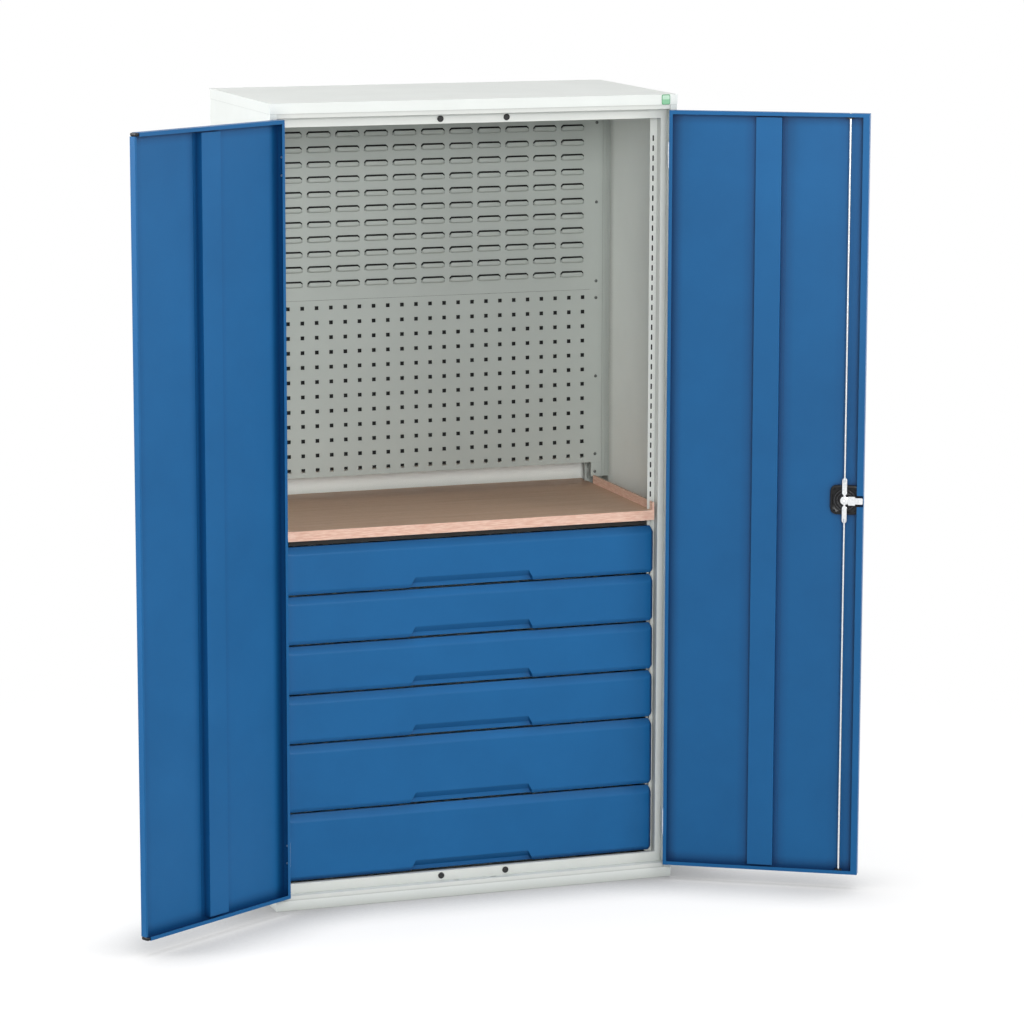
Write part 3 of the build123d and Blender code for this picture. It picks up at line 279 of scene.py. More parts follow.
def powder_coat(name, colour, deeper, fold_shade_colour, roughness, peel_depth, gleam=1.5):
    """Baked powder coat: two close tones in slow clouds, a fine peel as bump, and wandering gloss.
    In folds and seams, where ambient occlusion finds less room open within a few centimetres,
    painted shade darkens it towards its shade colour. A Mix node takes colours in sockets 6 and 7,
    and gives its colour in output 2."""
    finish, tree, surface = new_finish(name)
    place = add_node(tree, "TexCoord").outputs["Object"]
    cloud = add_node(
        tree, "TexNoise", {"Vector": place, "Scale": 1 / CLOUD, "Detail": 4.0, "Roughness": 0.6}
    )
    grain = add_node(tree, "TexNoise", {"Vector": place, "Scale": 1 / PEEL, "Detail": 2.0})
    blend = add_node(
        tree, "MapRange", {"Value": cloud.outputs["Fac"], "From Min": 0.3, "From Max": 0.7}
    )
    speck = add_node(
        tree,
        "MapRange",
        {
            "Value": grain.outputs["Fac"],
            "From Min": 0.25,
            "From Max": 0.75,
            "To Min": -SPECK,
            "To Max": SPECK,
        },
    )
    tone = add_node(
        tree, "Math", {0: blend.outputs[0], 1: speck.outputs[0]}, operation="ADD", use_clamp=True
    )
    paint = add_node(
        tree, "Mix", {0: tone.outputs[0], 6: linear(colour), 7: linear(deeper)}, data_type="RGBA"
    )
    # painted shade: where ambient occlusion finds less open room, the coat darkens towards its
    # shade colour
    near = add_node(tree, "AmbientOcclusion", {"Distance": FOLD_SHADE_REACH}, samples=6)
    clear = add_node(
        tree,
        "MapRange",
        {"Value": near.outputs["AO"], "From Min": FOLD_SHADE_OPEN[0], "From Max": FOLD_SHADE_OPEN[1]},
    )
    paint = add_node(
        tree, "Mix", {0: clear.outputs[0], 6: linear(fold_shade_colour), 7: paint.outputs[2]}, data_type="RGBA"
    )
    gloss = add_node(
        tree,
        "MapRange",
        {"Value": cloud.outputs["Fac"], "To Min": roughness - 0.04, "To Max": roughness + 0.05},
    )
    skin = add_node(
        tree, "Bump", {"Height": grain.outputs["Fac"], "Strength": 0.35, "Distance": peel_depth}
    )
    coat = add_node(
        tree,
        "BsdfPrincipled",
        {
            "Base Color": paint.outputs[2],
            "Roughness": gloss.outputs[0],
            "Normal": skin.outputs[0],
            "IOR": gleam,
        },
    )
    tree.links.new(coat.outputs[0], surface)
    return finish


# %% The cabinet's coats
# each coat: name, colour, deeper tone, painted shade colour for folds and seams, roughness, peel
# depth, and for the blue its gleam
body_coat = powder_coat("powder_coat_pale_grey", "#f6faf6", "#f0f4f0", "#b6bbb5", 0.42, 0.00012)
# the frame and inner coats are darker copies of the body coat: painted shade for the recessed frame
# and the compartment
shaded_frame_coat = powder_coat("powder_coat_frame_painted_shade", "#eceee9", "#e5e8e3", "#c2c6c2", 0.44, 0.00012)
shaded_inner_coat = powder_coat("powder_coat_inner_painted_shade", "#abb1ac", "#a6aca7", "#939994", 0.46, 0.00012)
door_coat = powder_coat("powder_coat_blue", "#15659f", "#115f97", "#04305f", 0.42, 0.00012, 1.36)
print("coats", [coat.name for coat in (body_coat, shaded_frame_coat, shaded_inner_coat, door_coat)])

# %% [markdown]
# ## Zinc plate
# Runners, hinges, rods and screws are steel with a bright zinc plate. Plating grows in small
# crystals, so the metal is one grey whose brightness steps a little from patch to patch, with fine
# draw lines along the long rods.

# %% Zinc and bright steel
CRYSTAL = 0.006  # crystals of plate are 1 to 6 mm across
DRAW_LINE = 0.0018


def plated_steel(name, colour, deeper, roughness, stretch):
    """Plated metal: crystal patches from Voronoi cells, and draw lines from squeezed noise."""
    finish, tree, surface = new_finish(name)
    place = add_node(tree, "TexCoord").outputs["Object"]
    cells = add_node(tree, "TexVoronoi", {"Vector": place, "Scale": 1 / CRYSTAL}, feature="F1")
    patch = add_node(tree, "SeparateColor", {"Color": cells.outputs["Color"]})
    drawn = add_node(tree, "Mapping", {"Vector": place, "Scale": stretch})
    line = add_node(
        tree, "TexNoise", {"Vector": drawn.outputs[0], "Scale": 1 / DRAW_LINE, "Detail": 3.0}
    )
    metal = add_node(
        tree,
        "Mix",
        {0: patch.outputs["Red"], 6: linear(colour), 7: linear(deeper)},
        data_type="RGBA",
    )
    gloss = add_node(
        tree,
        "MapRange",
        {"Value": line.outputs["Fac"], "To Min": roughness - 0.07, "To Max": roughness + 0.09},
    )
    score = add_node(
        tree, "Bump", {"Height": line.outputs["Fac"], "Strength": 0.25, "Distance": 0.00008}
    )
    steel = add_node(
        tree,
        "BsdfPrincipled",
        {
            "Base Color": metal.outputs[2],
            "Metallic": 1.0,
            "Roughness": gloss.outputs[0],
            "Normal": score.outputs[0],
        },
    )
    tree.links.new(steel.outputs[0], surface)
    return finish


zinc = plated_steel("bright_zinc_plate", "#d9dcdf", "#c6cace", 0.32, (1.0, 1.0, 0.5))
dull_zinc = plated_steel("dull_zinc_plate", "#7a7d7b", "#6a6d6b", 0.45, (1.0, 1.0, 0.5))
rod_steel = plated_steel("bright_drawn_steel", "#eceeef", "#dfe2e4", 0.24, (1.0, 1.0, 0.02))
print("metals", [metal.name for metal in (zinc, dull_zinc, rod_steel)])

# %% [markdown]
# ## Moulded nylon and rubber
# The lock's housing, the rod guides and the door's corner caps are black nylon, moulded against a
# spark-eroded tool, which leaves a fine even grit. The buffers are rubber, blacker and duller, with
# a bloom that greys them a little. Both come from one function with a different grit.

# %% Moulded black parts
def moulded(name, colour, deeper, roughness, grit, depth, gleam=1.5):
    """Moulded plastic or rubber: a fine grit as bump, and a dull bloom in patches."""
    finish, tree, surface = new_finish(name)
    place = add_node(tree, "TexCoord").outputs["Object"]
    bloom = add_node(tree, "TexNoise", {"Vector": place, "Scale": 45.0, "Detail": 3.0})
    sand = add_node(tree, "TexVoronoi", {"Vector": place, "Scale": 1 / grit}, feature="SMOOTH_F1")
    tone = add_node(
        tree,
        "Mix",
        {0: bloom.outputs["Fac"], 6: linear(colour), 7: linear(deeper)},
        data_type="RGBA",
    )
    gloss = add_node(
        tree,
        "MapRange",
        {"Value": bloom.outputs["Fac"], "To Min": roughness - 0.06, "To Max": roughness + 0.08},
    )
    skin = add_node(
        tree, "Bump", {"Height": sand.outputs["Distance"], "Strength": 0.4, "Distance": depth}
    )
    body = add_node(
        tree,
        "BsdfPrincipled",
        {
            "Base Color": tone.outputs[2],
            "Roughness": gloss.outputs[0],
            "Normal": skin.outputs[0],
            "IOR": gleam,
        },
    )
    tree.links.new(body.outputs[0], surface)
    return finish


# %% The moulded finishes
nylon = moulded("moulded_black_nylon", "#0e0e10", "#18191b", 0.27, 0.0012, 0.00010, 1.36)
# painted highlight: a lighter grey for the crests of the lock's rings
ring_highlight_nylon = moulded("nylon_painted_ring_highlight", "#3c3c40", "#48484c", 0.22, 0.0012, 0.00003)
rubber = moulded("moulded_black_rubber", "#121212", "#232323", 0.68, 0.0020, 0.00010)
pale_window = moulded("milky_green_plastic", "#bfe4ca", "#c9ead3", 0.30, 0.0015, 0.00005)
badge_plastic = moulded("pale_green_plastic", "#86c79b", "#9dd4ae", 0.35, 0.0015, 0.00005)
rim_plastic = moulded("dark_green_plastic", "#4f9a6a", "#5fa879", 0.35, 0.0015, 0.00005)
# painted shade: a black for the unlit spaces behind panels, shelf slots and the board's front edge
black_painted_shade = moulded("black_painted_shade", "#101110", "#1a1b1a", 0.75, 0.0030, 0.00005)
print("moulded", [body.name for body in (nylon, ring_highlight_nylon, rubber, pale_window)])
print("moulded or primed", [body.name for body in (badge_plastic, rim_plastic, black_painted_shade)])

# %% [markdown]
# ## Beech plywood
# The worktop is beech plywood under a thin oil. Its face veneer has long faint bands along the
# grain and thousands of short dark flecks, the cut rays of beech. Its edge is fresh wood, paler and
# pinker than the face, where the veneers show as broken streaks; the face's darker tone is partly
# the wood's own and partly painted shade for the top, which the roof keeps from the light. The face
# and the edge are two patterns in one material, and the surface's own direction picks between them.

# %% Face veneer
BAND = 0.016  # width of the long bands across the grain
FLECK = 0.0030  # rays are 0.5 mm wide; drawn coarser so that they show
STREAK = 0.0024  # the planed edge shows veneers 1.5 to 3 mm thick as broken streaks
beech, tree, surface = new_finish("oiled_beech_plywood")
place = add_node(tree, "TexCoord")
band_place = add_node(
    tree, "Mapping", {"Vector": place.outputs["Object"], "Scale": (0.05, 1.0, 1.0)}
)
band = add_node(
    tree,
    "TexNoise",
    {"Vector": band_place.outputs[0], "Scale": 1 / BAND, "Detail": 5.0, "Distortion": 0.6},
)
fleck_place = add_node(
    tree, "Mapping", {"Vector": place.outputs["Object"], "Scale": (0.16, 1.0, 1.0)}
)
fleck = add_node(
    tree, "TexNoise", {"Vector": fleck_place.outputs[0], "Scale": 1 / FLECK, "Detail": 2.0}
)
ray_cut = add_node(
    tree, "MapRange", {"Value": fleck.outputs["Fac"], "From Min": 0.55, "From Max": 0.72}
)
veneer_tone = add_node(
    tree,
    "Mix",
    {0: band.outputs["Fac"], 6: linear("#c5a389"), 7: linear("#b08e76")},
    data_type="RGBA",
)
shaded_face_tone = add_node(
    tree,
    "Mix",
    {0: ray_cut.outputs[0], 6: veneer_tone.outputs[2], 7: linear("#ad8c74")},
    data_type="RGBA",
)

# %% Planed edge
edge_place = add_node(
    tree, "Mapping", {"Vector": place.outputs["Object"], "Scale": (0.09, 0.09, 1.0)}
)
streak = add_node(
    tree,
    "TexNoise",
    {"Vector": edge_place.outputs[0], "Scale": 1 / STREAK, "Detail": 3.0, "Roughness": 0.6},
)
pale_streak = add_node(
    tree, "MapRange", {"Value": streak.outputs["Fac"], "From Min": 0.35, "From Max": 0.65}
)
edge_tone = add_node(
    tree,
    "Mix",
    {0: pale_streak.outputs[0], 6: linear("#e3b29b"), 7: linear("#f6d3c0")},
    data_type="RGBA",
)

# %% Face and edge in one material
facing = add_node(tree, "SeparateXYZ", {0: place.outputs["Normal"]})
flat = add_node(tree, "Math", {0: facing.outputs["Z"]}, operation="ABSOLUTE")
is_face = add_node(tree, "MapRange", {"Value": flat.outputs[0], "From Min": 0.4, "From Max": 0.8})
# partly painted shade: the face tone, picked where the surface faces up, is darker than the edge
wood_tone = add_node(
    tree,
    "Mix",
    {0: is_face.outputs[0], 6: edge_tone.outputs[2], 7: shaded_face_tone.outputs[2]},
    data_type="RGBA",
)
oil = add_node(tree, "MapRange", {"Value": band.outputs["Fac"], "To Min": 0.42, "To Max": 0.56})
pore = add_node(
    tree, "Bump", {"Height": ray_cut.outputs[0], "Strength": 0.2, "Distance": 0.0001}, invert=True
)
wood = add_node(
    tree,
    "BsdfPrincipled",
    {
        "Base Color": wood_tone.outputs[2],
        "Roughness": oil.outputs[0],
        "Normal": pore.outputs[0],
        "IOR": 1.48,
    },
)
tree.links.new(wood.outputs[0], surface)
print("wood", beech.name, "with", len(tree.nodes), "nodes")

# %% [markdown]
# ## Dressing the CAD frame
# The record names a finish for every node, so the materials go on by that list. The rods and the
# lock's hub are drawn steel instead of plate. The front stiles and rails, and the panels and posts
# inside, take darker copies of the pale body coat: painted shade for the frame set back behind the
# doors and for the compartment.

# %% Finishes on the nodes
FINISH_OF_SLOT = {
    "body_paint": body_coat,
    "door_paint": door_coat,
    "beech_plywood": beech,
    "zinc_plate": zinc,
    "black_plastic": nylon,
    "black_rubber": rubber,
    "badge_green": badge_plastic,
}
DRAWN_NODES = ("upper_rod", "lower_rod", "lock_hub", "side_bolt")
INNER_SHADE_NODES = ("perforated_panel", "louvre_panel", "rear_posts")
FRAME_SHADE_NODES = ("front_stiles", "front_rails")
slot_of_node = {row["node"]: row["material_slot"] for row in frame["record"]["subparts"]}
for node_name, node_object in frame["nodes"].items():
    finish = FINISH_OF_SLOT[slot_of_node[node_name]]
    finish = rod_steel if node_name in DRAWN_NODES else finish
    finish = shaded_inner_coat if node_name in INNER_SHADE_NODES else finish
    finish = shaded_frame_coat if node_name in FRAME_SHADE_NODES else finish
    node_object.data.materials.clear()
    node_object.data.materials.append(finish)
print("finishes on", len(slot_of_node), "nodes")

# %% [markdown]
# ## A small mesh workshop
# Each new piece below is one or more sheets: a sheet is a grid of points, rows by columns, and its
# quads join neighbours. Sheets that share an edge are welded, so a form closed in the grid is
# closed in the mesh, and its normals are turned outwards once it is closed. Folds sharper than a
# chosen angle stay crisp.

# %% Sheets into meshes
def make_piece(name, sheets, finish, body, stands_for=(), crease=32.0):
    """One object from grids of points: join neighbours by quads, weld, and turn outwards."""
    points, quads, start = [], [], 0
    for sheet in sheets:
        rows, columns = sheet.shape[:2]
        index = start + np.arange(rows * columns).reshape(rows, columns)
        ring = (index[:-1, :-1], index[1:, :-1], index[1:, 1:], index[:-1, 1:])
        quads.append(np.stack(ring, -1).reshape(-1, 4))
        points.append(sheet.reshape(-1, 3))
        start += rows * columns
    mesh = bpy.data.meshes.new(name)
    mesh.from_pydata(np.concatenate(points).tolist(), [], np.concatenate(quads).tolist())
    welded = bmesh.new()
    welded.from_mesh(mesh)
    bmesh.ops.remove_doubles(welded, verts=welded.verts, dist=1e-6)
    bmesh.ops.dissolve_degenerate(welded, edges=welded.edges, dist=1e-7)
    bmesh.ops.recalc_face_normals(welded, faces=welded.faces)
    welded.to_mesh(mesh)
    welded.free()
    mesh.polygons.foreach_set("use_smooth", np.ones(len(mesh.polygons), dtype=bool))
    mesh.set_sharp_from_angle(angle=np.radians(crease))
    mesh.materials.append(finish)
    piece = bpy.data.objects.new(name, mesh)
    scene.collection.objects.link(piece)
    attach(piece, body)
    if stands_for:
        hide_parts(*stands_for)
    print(name, len(mesh.polygons), "faces on", body)
    return piece


# %% Fields, grid lines and closed shells
MM = 0.001
FRONTWARD = ((1, 0, 0), (0, 0, 1), (0, -1, 0))


def smooth_max(*fields, radius):
    """The larger of several fields. Where two lie within radius, a parabola rounds the valley."""
    result = fields[0]
    for field in fields[1:]:
        near = np.clip(radius - np.abs(result - field), 0, None)
        result = np.maximum(result, field) + near**2 / (4 * radius)
    return result


def lines(*stops):
    """Grid lines through (start, count) stops: each stretch is divided evenly into its count."""
    runs = [np.linspace(a[0], b[0], a[1], endpoint=False) for a, b in zip(stops[:-1], stops[1:])]
    return np.concatenate(runs + [[stops[-1][0]]])


def closed_shell(front, back):
    """Two grids with the same outline, and the four strips of quads that join their edges."""
    strips = [np.stack([front[end], back[end]]) for end in (0, -1)]
    return [front, back] + strips + [np.stack([front[:, end], back[:, end]]) for end in (0, -1)]


def in_mm(rows):
    """Rows written in millimetres, as metres."""
    return np.array(rows, dtype=float) * MM


def placed(local, origin, across, along, outward):
    """Local x, y and z laid along three directions from an origin."""
    axes = np.array([across, along, outward], dtype=float)
    return local @ axes + np.array(origin, dtype=float)


# %% [markdown]
# ## Drawer fronts
# Each front is one sheet pressed over a die: a flat face, a wide bevel along its top, a narrow one
# at its foot and ends, and a finger grip sunk into its lower edge with a sloping roof. Every one of
# these is a plane, so the depth behind the face is the largest of a few straight ramps, rounded
# where two ramps meet as a press rounds them. The grip is the one hollow: there the smaller of its
# roof and its two ends counts.

# %% Drawer fronts
FRONT_HALF = 0.486
FACE_Y = -0.240
FRONT_DEEP = 0.014
TOP_BEVEL = (0.019, 0.010)
FOOT_BEVEL = (0.009, 0.005)
END_BEVEL = 0.008
GRIP_FOOT_HALF, GRIP_TOP_HALF, GRIP_TALL, GRIP_LEDGE, GRIP_DEEP = 0.164, 0.149, 0.027, 0.011, 0.011
GRIP_END_SLOPE = 3.0
PRESS_RADIUS, GRIP_RADIUS = 0.0016, 0.0008
RIM = 0.0005  # the least depth left between the pressed face and the flat back
CORNER_CUT = (0.009, 0.006)  # how far the top's and the foot's corners are drawn in
CUT_START = 0.45
GAP_TRIM = 0.0013  # the sheet's edges are rolled in, so that the gap looks wider than it is
END_ROLL = (0.030, 0.0025)  # the face falls back by the second over the last stretch of the first


def front_depth(x, z, tall):
    """Depth behind the face at x across and z above the foot: the bevels' and grip's ramps."""
    top = (z - (tall - TOP_BEVEL[0])) * TOP_BEVEL[1] / TOP_BEVEL[0]
    foot = (FOOT_BEVEL[0] - z) * FOOT_BEVEL[1] / FOOT_BEVEL[0]
    ends = np.abs(x) - (FRONT_HALF - END_BEVEL)
    roll = END_ROLL[1] * np.clip((np.abs(x) - FRONT_HALF + END_ROLL[0]) / END_ROLL[0], 0, 1) ** 2
    skin = smooth_max(roll, top, foot, ends, radius=PRESS_RADIUS)
    roof = (GRIP_TALL - z) * GRIP_DEEP / (GRIP_TALL - GRIP_LEDGE)
    lean = GRIP_FOOT_HALF - (GRIP_FOOT_HALF - GRIP_TOP_HALF) * z / GRIP_TALL
    grip_end = (lean - np.abs(x)) * GRIP_END_SLOPE
    hollow = np.minimum(np.minimum(roof, grip_end), GRIP_DEEP)
    return np.clip(smooth_max(skin, hollow, radius=GRIP_RADIUS), 0, FRONT_DEEP - RIM)


def corner_cut(x, z, tall):
    """How far the outline is drawn in: a power of 1.5 along both bevels, near the ends only."""
    top = CORNER_CUT[0] * np.clip((z - tall + TOP_BEVEL[0]) / TOP_BEVEL[0], 0, 1) ** 1.5
    foot = CORNER_CUT[1] * np.clip(1 - z / FOOT_BEVEL[0], 0, 1) ** 1.5
    near_end = np.clip((np.abs(x) - CUT_START) / (FRONT_HALF - CUT_START), 0, 1) ** 2
    return np.sign(x) * (top + foot) * near_end


# %% Six fronts
def drawer_front(number):
    """A closed shell: the pressed face over the whole grid, its sides and a flat back."""
    low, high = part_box(f"drawer_{number}_front")
    tall = high[2] - low[2]
    half_x = lines((0.0, 8), (0.140, 26), (0.168, 14), (CUT_START, 14), (FRONT_HALF, 1))
    across = np.concatenate([-half_x[:0:-1], half_x])
    above = lines((0.0, 16), (0.014, 14), (0.030, 6), (tall - 0.024, 16), (tall, 1))
    x, z = np.meshgrid(across, above, indexing="ij")
    depth = front_depth(x, z, tall)
    rise = low[2] + z + GAP_TRIM * (1 - 2 * z / tall)
    face = np.stack([x - corner_cut(x, z, tall), FACE_Y + depth, rise], -1)
    back = face.copy()
    back[..., 1] = FACE_Y + FRONT_DEEP
    sheets = closed_shell(face, back)
    node, body = f"drawer_{number}_front", f"drawer_{number}"
    return make_piece(f"pressed_front_{number}", sheets, door_coat, body, (node,))


for drawer_number in range(1, 7):
    drawer_front(drawer_number)

# %% [markdown]
# ## Turned parts
# Screws, buffers, rivets, the lock's hub and its key cylinder are all turned or moulded round an
# axis. Each is a profile of radius and height carried once round. A screw's cross and a key's slot
# aren't round, so they are a relief: a height that is taken off wherever the point lies inside the
# cross or the slot.

# %% Turning
RELIEF_REACH = 0.0016  # a relief is cut only this far down from the crown


def turned(profile, turns=40, relief=None):
    """Rows of (radius, height) round a circle: x = r cos a, y = r sin a, z = height - relief."""
    angle = np.linspace(0, 2 * np.pi, turns + 1)
    rows = np.array(profile, dtype=float)
    x = rows[:, :1] * np.cos(angle)
    y = rows[:, :1] * np.sin(angle)
    z = np.broadcast_to(rows[:, 1:], x.shape)
    if relief is not None:
        z = z - relief(x, y) * (z > z.max() - RELIEF_REACH)
    return np.stack([x, y, z], -1)


def domed(radius, tall, steps=6):
    """Rows of a shallow dome from its crown to its rim: radius R sin t, height H cos t."""
    t = np.linspace(0, np.pi / 2, steps)
    return list(zip(radius * np.sin(t), tall * np.cos(t)))


def cross_recess(half_wide, half_long, deep):
    """A sunk cross: deep where |x| or |y| is under half_wide and the radius under half_long."""
    return lambda x, y: deep * (
        (np.minimum(np.abs(x), np.abs(y)) < half_wide) & (np.hypot(x, y) < half_long)
    )


# %% [markdown]
# ## Panel screws
# The back panels hang on pan-head screws, 8 mm across with a cross recess. Their shanks go on
# through the posts.

# %% Panel screws
SCREW_X = 0.485
PANEL_FACE = 0.186
POST_FACE = 0.187
SCREW_RISE = (1.028, 1.234, 1.440, 1.484, 1.690, 1.896)
POST_SCREW_RISE = 0.981
SCREW_ROWS = [(0, 2.2), (0.7, 2.19), (1.4, 2.12), (2.0, 2.0), (2.7, 1.75), (3.4, 1.3), (3.9, 0.6)]
SCREW_ROWS += [(4.0, 0.2), (4.0, 0.0), (2.0, 0.0), (2.0, -5.4), (1.4, -6.0), (0, -6.0)]
screw = turned(in_mm(SCREW_ROWS), 32, cross_recess(0.75 * MM, 2.6 * MM, 1.2 * MM))
screw_seats = [(PANEL_FACE, rise) for rise in SCREW_RISE] + [(POST_FACE, POST_SCREW_RISE)]
screws = [
    placed(screw, (side * SCREW_X, seat, rise), *FRONTWARD)
    for side in (-1, 1)
    for seat, rise in screw_seats
]
make_piece("cross_head_screws", screws, dull_zinc, "carcass", ("panel_screws",))

# %% [markdown]
# ## Door buffers
# Four rubber buffers catch the doors without a clang. Each is a mushroom, with a rounded rim, a
# shallow dish in its crown, and a stud pushed into the rail.

# %% Door buffers
BUFFER_X = 0.0855
BUFFER_RISE = (0.048, 1.952)
RAIL_FACE = -0.248
BUFFER_ROWS = [(0, 1.9), (2.0, 1.95), (3.2, 2.3), (4.4, 2.65), (5.6, 2.7), (6.8, 2.5), (7.6, 1.9)]
BUFFER_ROWS += [(8.0, 1.0), (8.0, 0), (3, 0), (3, -4.6), (2.4, -5), (0, -5)]
buffer_form = turned(in_mm(BUFFER_ROWS), 48)
buffer_seats = [(side * BUFFER_X, RAIL_FACE, rise) for side in (-1, 1) for rise in BUFFER_RISE]
buffers = [placed(buffer_form, seat, *FRONTWARD) for seat in buffer_seats]
make_piece("rubber_buffers", buffers, rubber, "carcass", ("door_buffers",))

# %% [markdown]
# ## The bare badge plate
# A small pale green plate is clipped to the front of the roof. Its empty field sinks inside a low
# edge: the height falls by a smooth step a little way in from the outline, which is a square whose
# sides bow out. A darker rim and a milky window stand on it. Their rings are superellipses, the
# curve of x to the eighth plus y to the eighth equal to 1, each at its own share of the badge's
# size and its own height.

# %% Badge plate
PLATE_RISE, FIELD_SINK, EDGE_ROLL = 0.8, 0.35, 0.25
FIELD_START = 0.16
badge_low, badge_high = (np.array(corner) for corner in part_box("badge_plate"))
badge_middle = (badge_low + badge_high) / 2
badge_half = (badge_high - badge_low)[[0, 2]] / 2
badge_lines = lines((-1.0, 10), (-0.7, 6), (0.7, 10), (1.0, 1))
u, v = np.meshgrid(badge_lines, badge_lines, indexing="ij")
badge_x = u * np.sqrt(1 - 0.16 * v**8) * badge_half[0]
badge_z = v * np.sqrt(1 - 0.16 * u**8) * badge_half[1]
to_edge = 1 - np.maximum(np.abs(u), np.abs(v))
sunk = FIELD_SINK / (1 + np.exp(-(to_edge - FIELD_START) * 60))
plate_rise = (PLATE_RISE - sunk - EDGE_ROLL * np.exp(-to_edge * 30)) * MM
badge_face = np.stack(
    [badge_middle[0] + badge_x, badge_high[1] - plate_rise, badge_middle[2] + badge_z], -1
)
badge_back = badge_face.copy()
badge_back[..., 1] = badge_high[1]
badge = closed_shell(badge_face, badge_back)
make_piece("bare_badge", badge, badge_plastic, "carcass", ("badge_plate",))

# %% Badge rim and window
RIM_ROWS = [
    (0.985, 0.3), (0.985, 0.95), (0.97, 1.05), (0.88, 1.05), (0.86, 0.9), (0.86, 0.3), (0.985, 0.3)
]
WINDOW_ROWS = [(0.0, 0.3), (1.0, 0.3), (1.0, 0.8), (0.96, 0.95), (0.0, 1.0)]
WINDOW_SIZE = np.array([0.84, 0.40, 1.0])
WINDOW_LIFT = 0.42


def badge_rings(rows):
    """Rings of (share of the half size, height in mm), superellipses of the eighth power."""
    turn = np.linspace(0, 2 * np.pi, 41)
    square = 1 / (np.abs(np.cos(turn)) ** 8 + np.abs(np.sin(turn)) ** 8) ** 0.125
    across, above = badge_half[0] * square * np.cos(turn), badge_half[1] * square * np.sin(turn)
    rings = [(share * across, share * above, np.full(41, tall * MM)) for share, tall in rows]
    return np.stack([np.stack(ring, -1) for ring in rings])


rim_place = np.array([badge_middle[0], badge_high[1], badge_middle[2]])
rim = placed(badge_rings(RIM_ROWS), rim_place, *FRONTWARD)
make_piece("badge_rim", [rim], rim_plastic, "carcass")
window_place = rim_place + np.array([0.0, 0.0, WINDOW_LIFT * badge_half[1]])
window = placed(badge_rings(WINDOW_ROWS) * WINDOW_SIZE, window_place, *FRONTWARD)
make_piece("badge_window", [window], pale_window, "carcass")

# %% [markdown]
# ## Places on an open door
# The doors stand open by 149.2 degrees, so their parts aren't square to the cabinet. Three
# directions describe a door: along it from its hinge, inward from its outer face, and up. A point
# on the door is a sum of these.

# %% The doors' own directions
DOOR_ANGLE = np.radians(149.2)
HINGE_X, HINGE_Y = 0.503, -0.275


def door_axes(side):
    """Along the door, up, and inward from its outer face, for the left (-1) or right (1) door."""
    along = (-side * np.cos(DOOR_ANGLE), -np.sin(DOOR_ANGLE), 0.0)
    inward = (-side * np.sin(DOOR_ANGLE), np.cos(DOOR_ANGLE), 0.0)
    return along, (0.0, 0.0, 1.0), inward


def door_origin(side, along_door, rise):
    """A place on the outer face of a door."""
    along = np.array(door_axes(side)[0])
    return np.array([side * HINGE_X, HINGE_Y, rise]) + along * along_door


LOCK_ALONG, LOCK_RISE = 0.454, 0.998
LOCK_PLACE = door_origin(1, LOCK_ALONG, LOCK_RISE)
INTO_ROOM = door_axes(1)
OUT_OF_DOOR = (INTO_ROOM[0], (0.0, 0.0, -1.0), tuple(-np.array(INTO_ROOM[2])))


def on_lock(sheet, axes=INTO_ROOM):
    """A sheet given round the lock's spindle, laid at its place on the right door."""
    return placed(sheet, LOCK_PLACE, *axes)


print("lock spindle at", LOCK_PLACE.round(4))

# %% [markdown]
# ## Lock housing
# The lock sits in a square nylon box with well rounded corners. Round its spindle run three low
# rings, as circles, while the box's own edge is a square. So each row of the surface has a
# squareness between 0 and 1, which blends the circle into a superellipse, the curve of x to the
# fifth plus y to the fifth equal to 1.

# %% Lock housing
# each row: radius, height above the outer face, squareness
HOUSING_ROWS = [(6.05, 1.0, 0), (6.05, 8.6, 0), (6.5, 9.0, 0), (10.6, 9.0, 0), (11.4, 10.2, 0)]
HOUSING_ROWS += [(13.4, 10.2, 0), (14.2, 7.6, 0), (16.8, 7.6, 0), (17.6, 10.4, 0), (20.4, 10.4, 0)]
HOUSING_ROWS += [(21.2, 7.6, 0), (23.6, 7.6, 0), (24.4, 10.5, 0), (27.6, 10.5, 0), (28.4, 7.6, 0.1)]
HOUSING_ROWS += [(30.6, 7.6, 0.5), (31.6, 9.0, 0.8), (35.2, 8.8, 1), (36.7, 8.1, 1), (37.4, 6.8, 1)]
HOUSING_ROWS += [(37.5, 5.0, 1), (37.5, 1.0, 1), (6.05, 1.0, 0)]
housing_turn = np.linspace(0, 2 * np.pi, 97)
squared = 1 / (np.abs(np.cos(housing_turn)) ** 5 + np.abs(np.sin(housing_turn)) ** 5) ** 0.2
radius, rise, square = np.array(HOUSING_ROWS).T[:, :, None] * np.ones_like(housing_turn)
reach = radius * (1 - square + square * squared)
housing = np.stack([reach * np.cos(housing_turn), reach * np.sin(housing_turn), rise], -1) * MM
housing = [on_lock(housing)]
make_piece("ringed_lock_housing", housing, nylon, "right_door", ("lock_housing",))

